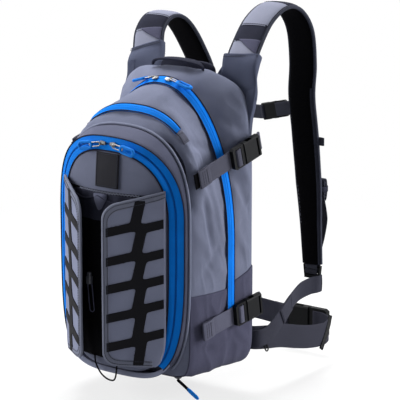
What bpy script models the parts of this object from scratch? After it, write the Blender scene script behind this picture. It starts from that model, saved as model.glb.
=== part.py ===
# Ski backpack, in metres, +Z up. Its front faces -Y and the wearer's back faces +Y.
# The origin is the centre of the flat face of the back pad. Heights named h are above the base.
import math

import bmesh
import bpy
from mathutils import Matrix, Vector

for old in list(bpy.data.objects):
    bpy.data.objects.remove(old, do_unlink=True)

# Frame
ORIGIN_H = 0.220           # height of the back face's centre above the base
GAP = 0.0004               # kept between pieces that touch

# Outlines are arches: MID_H is where the sides start to lean in
MID_H, BASE_ROUNDNESS = 0.245, 4.2
# Bag: sections across Y as (y, half width, lowest h, highest h, roundness of the top, its own middle h)
BAG_SECTIONS = (
    (-0.0063, 0.1300, 0.002, 0.4480, 6.00, 0.205),
    (-0.0150, 0.1335, 0.000, 0.4570, 4.80, 0.205),
    (-0.0380, 0.1340, 0.000, 0.4555, 3.00, 0.205),
    (-0.0570, 0.1335, 0.000, 0.4475, 2.05, 0.205),
    (-0.0660, 0.1330, 0.000, 0.4430, 2.02, 0.205),
    (-0.0750, 0.1330, 0.000, 0.4395, 2.00, 0.205),
    (-0.1050, 0.1325, 0.000, 0.4290, 2.10, 0.222),
    (-0.1276, 0.1305, 0.000, 0.4150, 2.40, 0.245),
    (-0.1416, 0.1285, 0.001, 0.4020, 2.50, 0.245),
    (-0.1555, 0.1225, 0.002, 0.3850, 2.50, 0.245),
)
BAG_BASE_ROUNDNESS = 18.0
BAG_SIDES = 48
BOOT_FRONT_H, BOOT_BACK_H = 0.130, 0.150

# Back
PAD_HALF, PAD_LOW, PAD_TOP, PAD_THICK = 0.118, 0.020, 0.412, 0.0045
PAD_CHANNELS_H = (0.140, 0.300)
CHANNEL_WIDE, CHANNEL_DEEP = 0.016, 0.0025
PAD_EDGE, PAD_EDGE_STEPS = 0.003, 3
SHEET_HALF, SHEET_LOW, SHEET_TOP, SHEET_THICK = 0.110, 0.030, 0.404, 0.0010

# Front pocket and its door
POD_HALF, POD_LOW, POD_TOP, POD_ROUNDNESS = 0.1235, 0.000, 0.3745, 2.5
POD_REAR_TOP = 0.385
POD_REAR_Y, POD_EDGE_Y, POD_CROWN = -0.1560, -0.1670, 0.038
POD_WALL = 0.0025
CROWN_H = 0.220            # height of the fullest part of the door
CROWN_FALL_TOP, CROWN_REACH_TOP, CROWN_FALL_BASE = 0.25, 0.16, 0.55
ZIP_TAPE = 0.0105          # width of one half of the front zip
ZIP_THICK = 0.0020
ZIP_TURNS = (-60, 240)     # degrees round the outline, 90 at the top
DOOR_RINGS = (0.05, 0.35, 0.65, 0.85, 1.0)
DOOR_LOW, DOOR_THICK = 0.006, 0.0030
DOOR_AXIS_Y, DOOR_AXIS_H = -0.1870, 0.005
SLEEVE_HALF, SLEEVE_LOW, SLEEVE_TOP, SLEEVE_GRID = 0.070, 0.024, 0.286, (10, 14)
LABEL_HALF, LABEL_LOW, LABEL_TOP, LABEL_GRID = 0.023, 0.296, 0.350, (4, 4)
PATCH_THICK, PATCH_GAP = 0.0015, 0.0010
PIPING_RADIUS, PIPING_CLEAR = 0.0020, 0.0009

# Flaps of the front, hinged at their outer edges
FLAP_AXIS_X, FLAP_AXIS_Y = 0.1000, -0.1840
FLAP_WIDE, FLAP_THICK = 0.097, 0.0030
FLAP_REST = math.radians(35.6)
FLAP_OUTER_LOW, FLAP_INNER_LOW = 0.024, 0.027
FLAP_OUTER_TOP, FLAP_INNER_TOP = 0.300, 0.276
FLAP_CORNER, FLAP_CORNER_STEPS = 0.018, 4

# Zips of the bag
MAIN_ZIP_Y, MAIN_ZIP_HALF, MAIN_ZIP_TURNS, MAIN_ZIP_FOOT_H = -0.0660, 0.0090, (0, 180), 0.092
MID_ZIP_Y, MID_ZIP_HALF, MID_ZIP_TURNS = -0.1346, 0.0070, (52.5, 127.5)
BAND_GAP, BAND_THICK = 0.0006, 0.0020
SLIDER_LONG, SLIDER_WIDE, SLIDER_HIGH = 0.0100, 0.0070, 0.0040
SLIDER_NOSE, SLIDER_CHEEK, SLIDER_DECK = 0.7, 0.2, 0.5
BRIDGE_LONG, BRIDGE_WIDE = 0.6, 0.35
MAIN_SLIDER_ANGLE = 9.0    # degrees along the arch from its top
MAIN_SLIDER_LIFT = 0.0014  # room over the arch, so that the slider can run along it
FRONT_SLIDER_X = 0.0095
PULL_LONG, PULL_WIDE, PULL_THICK, PULL_RIM, PULL_STEPS = 0.0400, 0.0065, 0.0018, 0.0018, 6
PULL_DROOP = 12.0          # degrees that a pull hangs below the line of its zip

# Shoulder straps: centre lines of the right and the left one, as (x, y, h)
WING_RIGHT = (
    (0.0985, -0.0012, 0.4170), (0.0980, 0.0005, 0.4400), (0.0955, 0.0100, 0.4690), (0.0915, 0.0275, 0.4915),
)
STRAP_RIGHT = (
    (0.0910, 0.0285, 0.4925), (0.0875, 0.0660, 0.5290), (0.0890, 0.1060, 0.5480), (0.0910, 0.1415, 0.5400),
    (0.0940, 0.1680, 0.5060), (0.0940, 0.1775, 0.4500), (0.0915, 0.1785, 0.3950), (0.0985, 0.1795, 0.3300),
    (0.1070, 0.1810, 0.2300), (0.1130, 0.1830, 0.1180),
)
WING_LEFT = (
    (-0.0895, -0.0012, 0.4170), (-0.0910, 0.0005, 0.4340),
    (-0.0950, 0.0080, 0.4520), (-0.1020, 0.0225, 0.4680),
)
STRAP_LEFT = (
    (-0.1032, 0.0246, 0.4698), (-0.1150, 0.0450, 0.4980), (-0.1180, 0.0700, 0.5170),
    (-0.1150, 0.0960, 0.5170), (-0.1120, 0.1210, 0.4980), (-0.1080, 0.1460, 0.4620),
    (-0.1030, 0.1660, 0.4180), (-0.0990, 0.1775, 0.3500), (-0.1070, 0.1815, 0.2400),
    (-0.1130, 0.1830, 0.1180),
)
STRAP_WIDTHS = (0.066, 0.060, 0.056, 0.054, 0.053, 0.052, 0.052, 0.050, 0.042, 0.038)
WING_WIDE, WING_THICK, STRAP_THICK = 0.066, 0.0088, 0.0125
YOKE_HALF, YOKE_LOW, YOKE_TOP, YOKE_THICK = 0.054, 0.4170, 0.4680, 0.009
LADDER_WIDE, LADDER_LONG, LADDER_THICK = 0.034, 0.024, 0.0055
LADDER_TOP, LADDER_TAPER = 0.002, 0.85
LADDER_SLOTS, LADDER_SLOT_SHARE = ((-0.0100, -0.0055), (-0.0185, -0.0140)), 0.72
PER_SPAN, TWIST_PER_SPAN = 3, 5   # steps between two points of a strap's path
LOWER_WEB = (
    (0.1138, 0.1845, 0.0905), (0.1155, 0.1790, 0.0840), (0.1180, 0.1600, 0.0810), (0.1210, 0.1300, 0.0780),
    (0.1345, 0.0900, 0.0650), (0.1400, 0.0550, 0.0500), (0.1405, 0.0280, 0.0390), (0.1385, 0.0040, 0.0350),
    (0.1250, -0.0047, 0.0345), (0.1080, -0.0051, 0.0345),
)
WEB_THICK, WEB_WIDE, SMALL_WEB_WIDE, HIP_WEB_WIDE = 0.0016, 0.028, 0.022, 0.038
HAUL_HALF, HAUL_Y, HAUL_FOOT_H, HAUL_TOP_H = 0.050, -0.0280, 0.4590, 0.4820
HAUL_WIDE, HAUL_NECK, HAUL_FOOT, HAUL_THICK = 0.020, 0.012, 0.0025, 0.0030
HAUL_STEPS, HAUL_SQUARENESS = 16, 0.7

# Hip belt and sternum strap
HIP_RIGHT = (
    (0.1080, -0.0023, 0.0350), (0.1200, -0.0013, 0.0350), (0.1300, 0.0060, 0.0345), (0.1345, 0.0300, 0.0310),
    (0.1350, 0.0680, 0.0250), (0.1350, 0.1100, 0.0140), (0.1340, 0.1500, 0.0050), (0.1310, 0.1900, 0.0000),
    (0.1220, 0.2170, 0.0020), (0.1030, 0.2250, 0.0050), (0.0850, 0.2250, 0.0050),
)
HIP_LEFT = (
    (-0.1080, -0.0023, 0.0350), (-0.1200, -0.0013, 0.0350), (-0.1300, 0.0060, 0.0345),
    (-0.1345, 0.0300, 0.0310), (-0.1350, 0.0680, 0.0250), (-0.1350, 0.1100, 0.0140),
    (-0.1340, 0.1500, 0.0080), (-0.1300, 0.1900, 0.0060), (-0.1100, 0.2220, 0.0060),
    (-0.0500, 0.2280, 0.0100), (0.0000, 0.2300, 0.0075), (0.0225, 0.2310, 0.0050),
)
HIP_BUCKLE_FROM, HIP_BUCKLE_ALONG = (0.1110, 0.2261, 0.0050), (-1.0, 0.0, 0.0)
STERNUM_RIGHT = ((0.1000, 0.1868, 0.3800), (0.0340, 0.1868, 0.3641))
STERNUM_LEFT = (
    (-0.1000, 0.1868, 0.3800), (-0.0700, 0.1872, 0.3700), (-0.0300, 0.1890, 0.3570), (0.0022, 0.1906, 0.3566),
)

# Side-release buckle for a 28 mm web; other sizes are scaled from it
BUCKLE_WEB = 0.028
PLUG_TAIL, PLUG_HALF, PLUG_THICK = 0.026, 0.0175, 0.0070
PLUG_CORNER, PLUG_TAPER = 0.004, 0.86
PLUG_SLOTS, SLOT_CLEAR = ((0.005, 0.010), (0.015, 0.020)), 0.0006
PRONG_LONG, PRONG_INNER, PRONG_OUTER = 0.022, 0.0095, 0.0138
BARB, BARB_FROM, BARB_RAMP = 0.0012, 0.008, 0.002
NOSE_LONG, NOSE_IN, NOSE_BACK = 0.006, 0.003, 0.002
ROOT_LONG, ROOT_IN = 0.002, 0.001
GUIDE_HALF, GUIDE_LONG, GUIDE_TAPER = 0.0022, 0.019, 0.7
SOCKET_LONG, SOCKET_HALF, SOCKET_THICK = 0.036, 0.0180, 0.0105
CAVITY_LONG, CAVITY_HALF, CAVITY_THICK = 0.0255, 0.0146, 0.0076
WINDOW_FROM, WINDOW_LONG = 0.008, 0.012
BAR_SLOT_FROM, BAR_SLOT_TO = 0.0285, 0.0325
SOCKET_EDGE, SOCKET_CLEAR = 0.0028, 0.0008
PLUG_LIFT = 0.0020         # underside of the plug above the web that it runs along

# Compression straps of the sides: front end, rear end, shift of the buckle along the strap
COMPRESSION = {
    "upper_right": ((0.1285, -0.1380, 0.3140), (0.1362, 0.0000, 0.3520), 0.000),
    "lower_right": ((0.1355, -0.1380, 0.0760), (0.1380, 0.0000, 0.0960), 0.000),
    "upper_left": ((-0.1235, -0.1300, 0.3330), (-0.1345, 0.0000, 0.3690), -0.028),
    "lower_left": ((-0.1355, -0.1380, 0.0760), (-0.1380, 0.0000, 0.0960), 0.000),
}
STRAP_TAB, TAB_THICK, TAB_SLOPE = 0.020, 0.005, 0.002
PLUG_START = 0.074
TAIL_PAST_END, TAIL_DROP = 0.006, 0.0030
TAIL_LOW, TAIL_THICK, TAIL_END_THICK, TAIL_OVERLAP = 0.0030, 0.0028, 0.0025, 0.004
STERNUM_BUCKLE_AT = 0.047  # along the right web from its outer end

# Small parts of the front
CORD_LOCK_X, CORD_LOCK_H = -0.0310, 0.1500
CORD_LOCK_RADIUS, CORD_LOCK_LONG, CORD_LOCK_SIDES = 0.0055, 0.018, 12
CORD_LOCK_PROFILE = ((-0.5, 0.75), (-0.42, 1), (0.12, 1), (0.2, 0.72), (0.44, 0.72), (0.5, 0.55))
ELASTIC_ROUTE = (
    (-0.0390, -0.1890, 0.0215), (-0.0340, -0.1920, 0.0080), (-0.0200, -0.1950, -0.0060),
    (-0.0040, -0.1950, -0.0125), (0.0060, -0.1935, -0.0080), (0.0090, -0.1915, 0.0215),
)
ELASTIC_RADIUS, ELASTIC_PER_SPAN = 0.0013, 5
BASE_ZIP_X, BASE_ZIP_Y, BASE_ZIP_H = 0.0950, -0.1490, 0.0003
BASE_PULL_LONG, BASE_PULL_TILT = 0.0480, 60.0
MID_TAB = ((0.0915, -0.1400, 0.3835), (0.1030, -0.1360, 0.3680))
MID_TAB_WIDE, MID_TAB_THICK = 0.014, 0.0025

scene = bpy.context.scene
pack = bpy.data.objects.new("pack", None)
pack.location = (0, 0, -ORIGIN_H)
scene.collection.objects.link(pack)


# Materials
def look(name, colour, roughness, metallic=0.0):
    material = bpy.data.materials.new(name)
    material.use_nodes = True
    shader = material.node_tree.nodes["Principled BSDF"]
    shader.inputs["Base Color"].default_value = (*colour, 1)
    shader.inputs["Roughness"].default_value = roughness
    shader.inputs["Metallic"].default_value = metallic
    return material


GREY = look("grey_cloth", (0.20, 0.22, 0.32), 0.85)
DARK = look("dark_cloth", (0.065, 0.068, 0.115), 0.85)
BLUE = look("blue_zip", (0.003, 0.14, 0.55), 0.6)
BLACK = look("black_cloth", (0.008, 0.008, 0.010), 0.9)
WEBBING = look("webbing", (0.09, 0.09, 0.13), 0.8)
PLASTIC = look("buckle_plastic", (0.015, 0.017, 0.021), 0.4)
METAL = look("zip_metal", (0.6, 0.6, 0.62), 0.3, 1.0)
FOAM = look("back_foam", (0.03, 0.03, 0.036), 0.9)
BOARD = look("frame_board", (0.7, 0.7, 0.68), 0.5)


# Building blocks
def empty(name, place, turn=None, parent=None):
    """An empty at a place above the base; turn is a 3 x 3 rotation."""
    frame = bpy.data.objects.new(name, None)
    frame.parent = parent or pack
    frame.matrix_local = Matrix.Translation(place) @ (turn.to_4x4() if turn else Matrix())
    scene.collection.objects.link(frame)
    return frame


def add(name, bm, material, pivot=None):
    """Make the node; pivot is an empty that only moves its origin, and the shape stays where it is drawn."""
    if pivot:
        bmesh.ops.translate(bm, verts=bm.verts, vec=-pivot.location)
    return put(name, bm, material, pivot or pack)


def put(name, bm, material, parent):
    bmesh.ops.recalc_face_normals(bm, faces=bm.faces)
    mesh = bpy.data.meshes.new(name)
    bm.to_mesh(mesh)
    bm.free()
    mesh.materials.append(material)
    node = bpy.data.objects.new(name, mesh)
    node.parent = parent
    scene.collection.objects.link(node)
    return node


def loft(rings, closed=False):
    """Extrude the first ring through the others; closed joins the last ring to the first."""
    bm = bmesh.new()
    order = [bm.verts.new(point) for point in rings[0]]
    edges = [bm.edges.new((a, b)) for a, b in zip(order, order[1:] + order[:1])]
    if not closed:
        bm.faces.new(order)
    for ring in (*rings[1:], *(rings[:1] if closed else ())):
        made = bmesh.ops.extrude_edge_only(bm, edges=edges)["geom"]
        edges = [part for part in made if isinstance(part, bmesh.types.BMEdge)]
        fresh = {part for part in made if isinstance(part, bmesh.types.BMVert)}
        above = {edge.other_vert(vert): vert for vert in fresh for edge in vert.link_edges
                 if edge.other_vert(vert) not in fresh}
        order = [above[vert] for vert in order]
        for vert, point in zip(order, ring):
            vert.co = point
    if closed:
        bmesh.ops.remove_doubles(bm, verts=bm.verts, dist=1e-6)
    else:
        bm.faces.new(order)
    return bm


def smooth(points, per_span):
    """Points along a Catmull-Rom curve through the given ones."""
    knots = [Vector(point) for point in points]
    ends = [2 * knots[0] - knots[1], *knots, 2 * knots[-1] - knots[-2]]
    line = []
    for a, b, c, d in zip(ends, ends[1:], ends[2:], ends[3:]):
        for step in range(per_span):
            t = step / per_span
            line.append(0.5 * (2 * b + (c - a) * t + (2 * a - 5 * b + 4 * c - d) * t**2
                               + (3 * b - a - 3 * c + d) * t**3))
    return line + [knots[-1]]


def blend(values, share):
    """A value read from evenly spaced ones at a share of their run."""
    place = min(share, 0.9999) * (len(values) - 1)
    first = int(place)
    return values[first] + (values[first + 1] - values[first]) * (place - first)


ALONG_X, ALONG_Y, UPRIGHT = (1, 0, 0), (0, 1, 0), (0, 0, 1)
FLAT_PROFILE = ((-1, -1), (1, -1), (1, 1), (-1, 1))
TWIST_PROFILE = ((-1, -1), (-0.33, -1), (0.33, -1), (1, -1), (1, 1), (0.33, 1), (-0.33, 1), (-1, 1))
PAD_PROFILE = ((-1, -0.35), (-0.86, -0.8), (-0.4, -1), (0.4, -1), (0.86, -0.8), (1, -0.35),
               (1, 0.35), (0.86, 0.8), (0.4, 1), (-0.4, 1), (-0.86, 0.8), (-1, 0.35))


def ribbon(line, widths, thick, across, profile=FLAT_PROFILE, starts=None, ends=None):
    """A strip along a line. widths and across may change along it, as evenly spaced values.
    starts and ends give its direction there, where it meets another strip."""
    rings = []
    for index, point in enumerate(line):
        share = index / (len(line) - 1)
        along = line[min(index + 1, len(line) - 1)] - line[max(index - 1, 0)]
        if starts and index == 0:
            along = starts
        if ends and index == len(line) - 1:
            along = ends
        along = Vector(along).normalized()
        side = blend([Vector(value) for value in across], share)
        side = (side - along * side.dot(along)).normalized()
        out = along.cross(side)
        half = blend(widths, share) / 2
        rings.append([point + side * half * a + out * thick / 2 * b for a, b in profile])
    return loft(rings)


def extruded(points, reach):
    """A flat polygon extruded by a vector."""
    bm = bmesh.new()
    face = bm.faces.new([bm.verts.new(point) for point in points])
    made = bmesh.ops.extrude_face_region(bm, geom=[face])["geom"]
    bmesh.ops.translate(bm, verts=[part for part in made if isinstance(part, bmesh.types.BMVert)], vec=reach)
    return bm


def plate(outline, thick):
    """A flat outline in local X and Z, extruded along +Y."""
    return extruded([(x, 0, z) for x, z in outline], (0, thick, 0))


def across_strip(profile, wide):
    """A profile in local X and Y, as wide as a web along Z."""
    return extruded([(x, y, -wide / 2) for x, y in profile], (0, 0, wide))


def box(low, high):
    bm = bmesh.new()
    bmesh.ops.create_cube(bm, size=1)
    bmesh.ops.scale(bm, verts=bm.verts, vec=[b - a for a, b in zip(low, high)])
    bmesh.ops.translate(bm, verts=bm.verts, vec=[(a + b) / 2 for a, b in zip(low, high)])
    return bm


def cut(node, name, bm, operation="DIFFERENCE"):
    """Take a shape out of a node, in the node's own frame."""
    tool = put(f"{node.name}_{name}_tool", bm, PLASTIC, node.parent)
    tool.hide_render = True
    tool.display_type = "WIRE"
    modifier = node.modifiers.new(name, "BOOLEAN")
    modifier.operation = operation
    modifier.solver = "EXACT"
    modifier.object = tool


def join(node, name, bm):
    """Fuse a shape that overlaps a node with it."""
    cut(node, name, bm, "UNION")


def round_edges(bm, width, segments, chosen):
    edges = [edge for edge in bm.edges if chosen(edge)]
    bmesh.ops.bevel(bm, geom=edges, offset=width, segments=segments, affect="EDGES", profile=0.5,
                    clamp_overlap=True)


def arch(half, low, top, roundness, turns, middle=MID_H, base=BASE_ROUNDNESS):
    """Points (x, h) of a rounded outline at angles in degrees, 0 at the right and 90 at the top."""
    points = []
    for turn in turns:
        c, s = math.cos(math.radians(turn)), math.sin(math.radians(turn))
        power = 2 / (roundness if s >= 0 else base)
        reach = top - middle if s >= 0 else middle - low
        x = half * math.copysign(abs(c)**power, c)
        points.append((x, middle + reach * math.copysign(abs(s)**power, s)))
    return points


ALL_ROUND = [index * 360 / BAG_SIDES for index in range(BAG_SIDES)]


def turns_between(first, last):
    step = 360 / BAG_SIDES
    return [first + step * index for index in range(int(round((last - first) / step)) + 1)]


def bag_section(y):
    """Half width, lowest and highest h, roundness and middle h of the bag at a y."""
    for near, far in zip(BAG_SECTIONS, BAG_SECTIONS[1:]):
        if near[0] >= y >= far[0]:
            share = (near[0] - y) / (near[0] - far[0])
            return [a + (b - a) * share for a, b in zip(near[1:], far[1:])]
    return list(BAG_SECTIONS[-1][1:])


def bag_ring(y, outward, turns):
    """A line round the bag at a y, held off its surface."""
    half, low, top, roundness, middle = bag_section(y)
    outline = arch(half + outward, low - outward, top + outward, roundness, turns, middle, BAG_BASE_ROUNDNESS)
    return [Vector((x, y, h)) for x, h in outline]


def front_y(x, h):
    """The crowned front of the front pocket."""
    if h > CROWN_H:
        fall = CROWN_FALL_TOP * ((h - CROWN_H) / CROWN_REACH_TOP)**2
    else:
        fall = CROWN_FALL_BASE * ((CROWN_H - h) / CROWN_H)**2
    return POD_EDGE_Y - POD_CROWN * max(0.0, 1 - (x / POD_HALF)**2) * (1 - fall)


def pod_line(inset, turns, forward):
    """A line on the front of the pocket, inset from its outline and moved forward of its surface."""
    outline = arch(POD_HALF - inset, POD_LOW + min(inset, DOOR_LOW), POD_TOP - inset, POD_ROUNDNESS, turns)
    return [Vector((x, front_y(x, h) - forward, h)) for x, h in outline]


def tape(turns, inner, outer, thick):
    """A strip of the front zip between two insets."""
    lines = [pod_line(inset, turns, forward) for inset, forward in
             ((outer, -thick / 2), (outer, thick / 2), (inner, thick / 2), (inner, -thick / 2))]
    return loft(list(zip(*lines)))


def band(y, half, turns, foot_h=None):
    """A zip that lies round the bag at a y; with foot_h it runs on down both sides to that h."""
    low, high = BAND_GAP, BAND_GAP + BAND_THICK
    lines = []
    for place, outward in ((y - half, low), (y + half, low), (y + half, high), (y - half, high)):
        line = bag_ring(place, outward, turns)
        if foot_h:
            line = [Vector((line[0].x, place, foot_h)), *line, Vector((line[-1].x, place, foot_h))]
        lines.append(line)
    return loft(list(zip(*lines)))


def patch(half, low, top, grid):
    """A panel that lies on the crowned front."""
    bm = bmesh.new()
    bmesh.ops.create_grid(bm, x_segments=grid[0], y_segments=grid[1], size=1)
    for vert in bm.verts:
        x, h = vert.co.x * half, (low + top) / 2 + vert.co.y * (top - low) / 2
        vert.co = (x, front_y(x, h) - PATCH_GAP, h)
    skin = list(bm.faces)
    made = bmesh.ops.extrude_face_region(bm, geom=skin, use_keep_orig=True)["geom"]
    for vert in made:
        if isinstance(vert, bmesh.types.BMVert):
            vert.co.y -= PATCH_THICK
    return bm


def stadium(long, wide):
    """A round-ended outline from 0 to long."""
    radius = wide / 2
    ends = []
    for centre, first in ((long - radius, -90), (radius, 90)):
        for step in range(PULL_STEPS + 1):
            turn = math.radians(first + 180 * step / PULL_STEPS)
            ends.append((centre + radius * math.cos(turn), radius * math.sin(turn)))
    return ends


def loop_plate(long, wide, thick, rim):
    """A flat ring with round ends, in local X and Z."""
    outer = stadium(long, wide)
    inner = [(x + rim, z) for x, z in stadium(long - 2 * rim, wide - 2 * rim)]
    rings = [[Vector((x, y, z)) for x, z in outline] for outline, y in
             ((outer, 0), (outer, thick), (inner, thick), (inner, 0))]
    return loft(rings, closed=True)


# Bag, boot and back
def build_bag():
    deep = BAG_SECTIONS[0][0] - BAG_SECTIONS[-1][0]
    upright = Vector((0, BOOT_BACK_H - BOOT_FRONT_H, -deep)).normalized()
    halves = (("main_bag", GREY, GAP / 2, True), ("base_boot", DARK, -GAP / 2, False))
    for name, material, shift, keeps_top in halves:
        bm = loft([bag_ring(section[0], 0, ALL_ROUND) for section in BAG_SECTIONS])
        place = Vector((0, BAG_SECTIONS[0][0], BOOT_BACK_H + shift))
        bmesh.ops.bisect_plane(bm, geom=[*bm.verts, *bm.edges, *bm.faces], plane_co=place, plane_no=upright,
                               clear_outer=keeps_top, clear_inner=not keeps_top)
        bmesh.ops.holes_fill(bm, edges=[edge for edge in bm.edges if edge.is_boundary])
        add(name, bm, material)


def build_back():
    outline = arch(PAD_HALF, PAD_LOW, PAD_TOP, BAG_SECTIONS[0][4], ALL_ROUND)
    bm = plate(outline, PAD_THICK)
    bmesh.ops.translate(bm, verts=bm.verts, vec=(0, -PAD_THICK, 0))
    round_edges(bm, PAD_EDGE, PAD_EDGE_STEPS, lambda edge: all(vert.co.y > -1e-5 for vert in edge.verts))
    pad = add("back_pad", bm, FOAM)
    for index, h in enumerate(PAD_CHANNELS_H):
        low = (-2 * PAD_HALF, -CHANNEL_DEEP, h - CHANNEL_WIDE / 2)
        cut(pad, f"channel_{index}", box(low, (2 * PAD_HALF, CHANNEL_DEEP, h + CHANNEL_WIDE / 2)))
    sheet = plate(arch(SHEET_HALF, SHEET_LOW, SHEET_TOP, BAG_SECTIONS[0][4], ALL_ROUND[::2]), SHEET_THICK)
    bmesh.ops.translate(sheet, verts=sheet.verts, vec=(0, -PAD_THICK - GAP - SHEET_THICK, 0))
    add("frame_sheet", sheet, BOARD)


# Front pocket, its door and its flaps
def build_front_pocket(door):
    rear = (POD_HALF, POD_LOW, POD_REAR_TOP, POD_ROUNDNESS)
    rings = []
    for inset, at_front in ((0, False), (0, True), (POD_WALL, True), (POD_WALL, False)):
        if at_front:
            rings.append(pod_line(inset, ALL_ROUND, -ZIP_THICK / 2 - GAP))
        else:
            half, low, top, roundness = rear
            rings.append([Vector((x, POD_REAR_Y, h)) for x, h in
                          arch(half - inset, low + inset, top - inset, roundness, ALL_ROUND)])
    add("front_pocket", loft(rings, closed=True), GREY)
    zip_turns = turns_between(*ZIP_TURNS)
    add("front_zip_frame", tape(zip_turns, ZIP_TAPE, 0, ZIP_THICK), BLUE)
    inner_edge = 2 * ZIP_TAPE + GAP
    add("front_zip_door", tape(zip_turns, inner_edge, ZIP_TAPE + GAP, ZIP_THICK), BLUE, door)

    inset = inner_edge + GAP
    outline = arch(POD_HALF - inset, DOOR_LOW + GAP, POD_TOP - inset, POD_ROUNDNESS, ALL_ROUND)
    centre_h = (DOOR_LOW + POD_TOP) / 2
    rings = []
    for shares, back in ((DOOR_RINGS, 0.0), (DOOR_RINGS[::-1], DOOR_THICK)):
        for share in shares:
            line = [(x * share, centre_h + (h - centre_h) * share) for x, h in outline]
            rings.append([Vector((x, front_y(x, h) + back, h)) for x, h in line])
    add("front_panel", loft(rings), GREY, door)
    add("tool_sleeve", patch(SLEEVE_HALF, SLEEVE_LOW, SLEEVE_TOP, SLEEVE_GRID), BLACK, door)
    add("label_patch", patch(LABEL_HALF, LABEL_LOW, LABEL_TOP, LABEL_GRID), BLACK, door)


def build_flap(side, name):
    turn = Matrix.Rotation(side * FLAP_REST, 3, "Z")
    axis = empty(f"{name}_axis", (side * FLAP_AXIS_X, FLAP_AXIS_Y, 0), turn)
    inner = -side * FLAP_WIDE
    outline = [(0, FLAP_OUTER_LOW), (0, FLAP_OUTER_TOP), (inner, FLAP_INNER_TOP), (inner, FLAP_INNER_LOW)]
    bm = plate(outline, FLAP_THICK)
    round_edges(bm, FLAP_CORNER, FLAP_CORNER_STEPS,
                lambda edge: all(abs(vert.co.x) > FLAP_WIDE / 2 for vert in edge.verts)
                and abs(edge.verts[0].co.y - edge.verts[1].co.y) > FLAP_THICK / 2)
    bmesh.ops.translate(bm, verts=bm.verts, vec=(0, -FLAP_THICK / 2, 0))
    put(name, bm, GREY, axis)


def tube(name, points, radius, material):
    """A round cord along points, with closed ends."""
    curve = bpy.data.curves.new(name, "CURVE")
    curve.dimensions = "3D"
    curve.bevel_depth = radius
    curve.bevel_resolution = 2
    curve.use_fill_caps = True
    curve.render_resolution_u = 0
    spline = curve.splines.new("POLY")
    spline.points.add(len(points) - 1)
    for place, point in zip(spline.points, points):
        place.co = (*point, 1)
    curve.materials.append(material)
    node = bpy.data.objects.new(name, curve)
    node.parent = pack
    scene.collection.objects.link(node)


def build_piping():
    outward = PIPING_RADIUS + PIPING_CLEAR
    outline = arch(POD_HALF + outward, POD_LOW - outward, POD_REAR_TOP + outward, POD_ROUNDNESS,
                   turns_between(*ZIP_TURNS))
    tube("front_piping", [(x, POD_REAR_Y - PIPING_RADIUS, h) for x, h in outline], PIPING_RADIUS, GREY)


# Zips, sliders and pulls
def slider_shape():
    """A slider body, wide at its mouth, with the bridge that holds the pull, on the local X-Y plane."""
    half, wide = SLIDER_LONG / 2, SLIDER_WIDE / 2
    nose, cheek = wide * SLIDER_NOSE, half * SLIDER_CHEEK
    outline = [(-half, nose), (cheek, wide), (half, wide), (half, -wide), (cheek, -wide), (-half, -nose)]
    base = [Vector((x, y, 0)) for x, y in outline]
    deck = [Vector((x, y, SLIDER_HIGH * SLIDER_DECK)) for x, y in outline]
    crown = [Vector((x * BRIDGE_LONG, y * BRIDGE_WIDE, SLIDER_HIGH)) for x, y in outline]
    return loft([base, deck, crown])


def frame_from(along, out):
    """A rotation whose X runs along and whose Z points out."""
    x = Vector(along).normalized()
    z = (Vector(out) - x * Vector(out).dot(x)).normalized()
    return Matrix((x, z.cross(x), z)).transposed()


def side_frame(along, out):
    """A rotation whose X runs along and whose Y points out."""
    x = Vector(along).normalized()
    y = (Vector(out) - x * Vector(out).dot(x)).normalized()
    return Matrix((x, y, x.cross(y))).transposed()


def pull_shape(long=PULL_LONG):
    """A pull that lies along local X, with its eye at the end of its slider's bridge."""
    bm = loop_plate(long, PULL_WIDE, PULL_THICK, PULL_RIM)
    bmesh.ops.rotate(bm, verts=bm.verts, matrix=Matrix.Rotation(math.radians(90), 3, "X"))
    return bm


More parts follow.
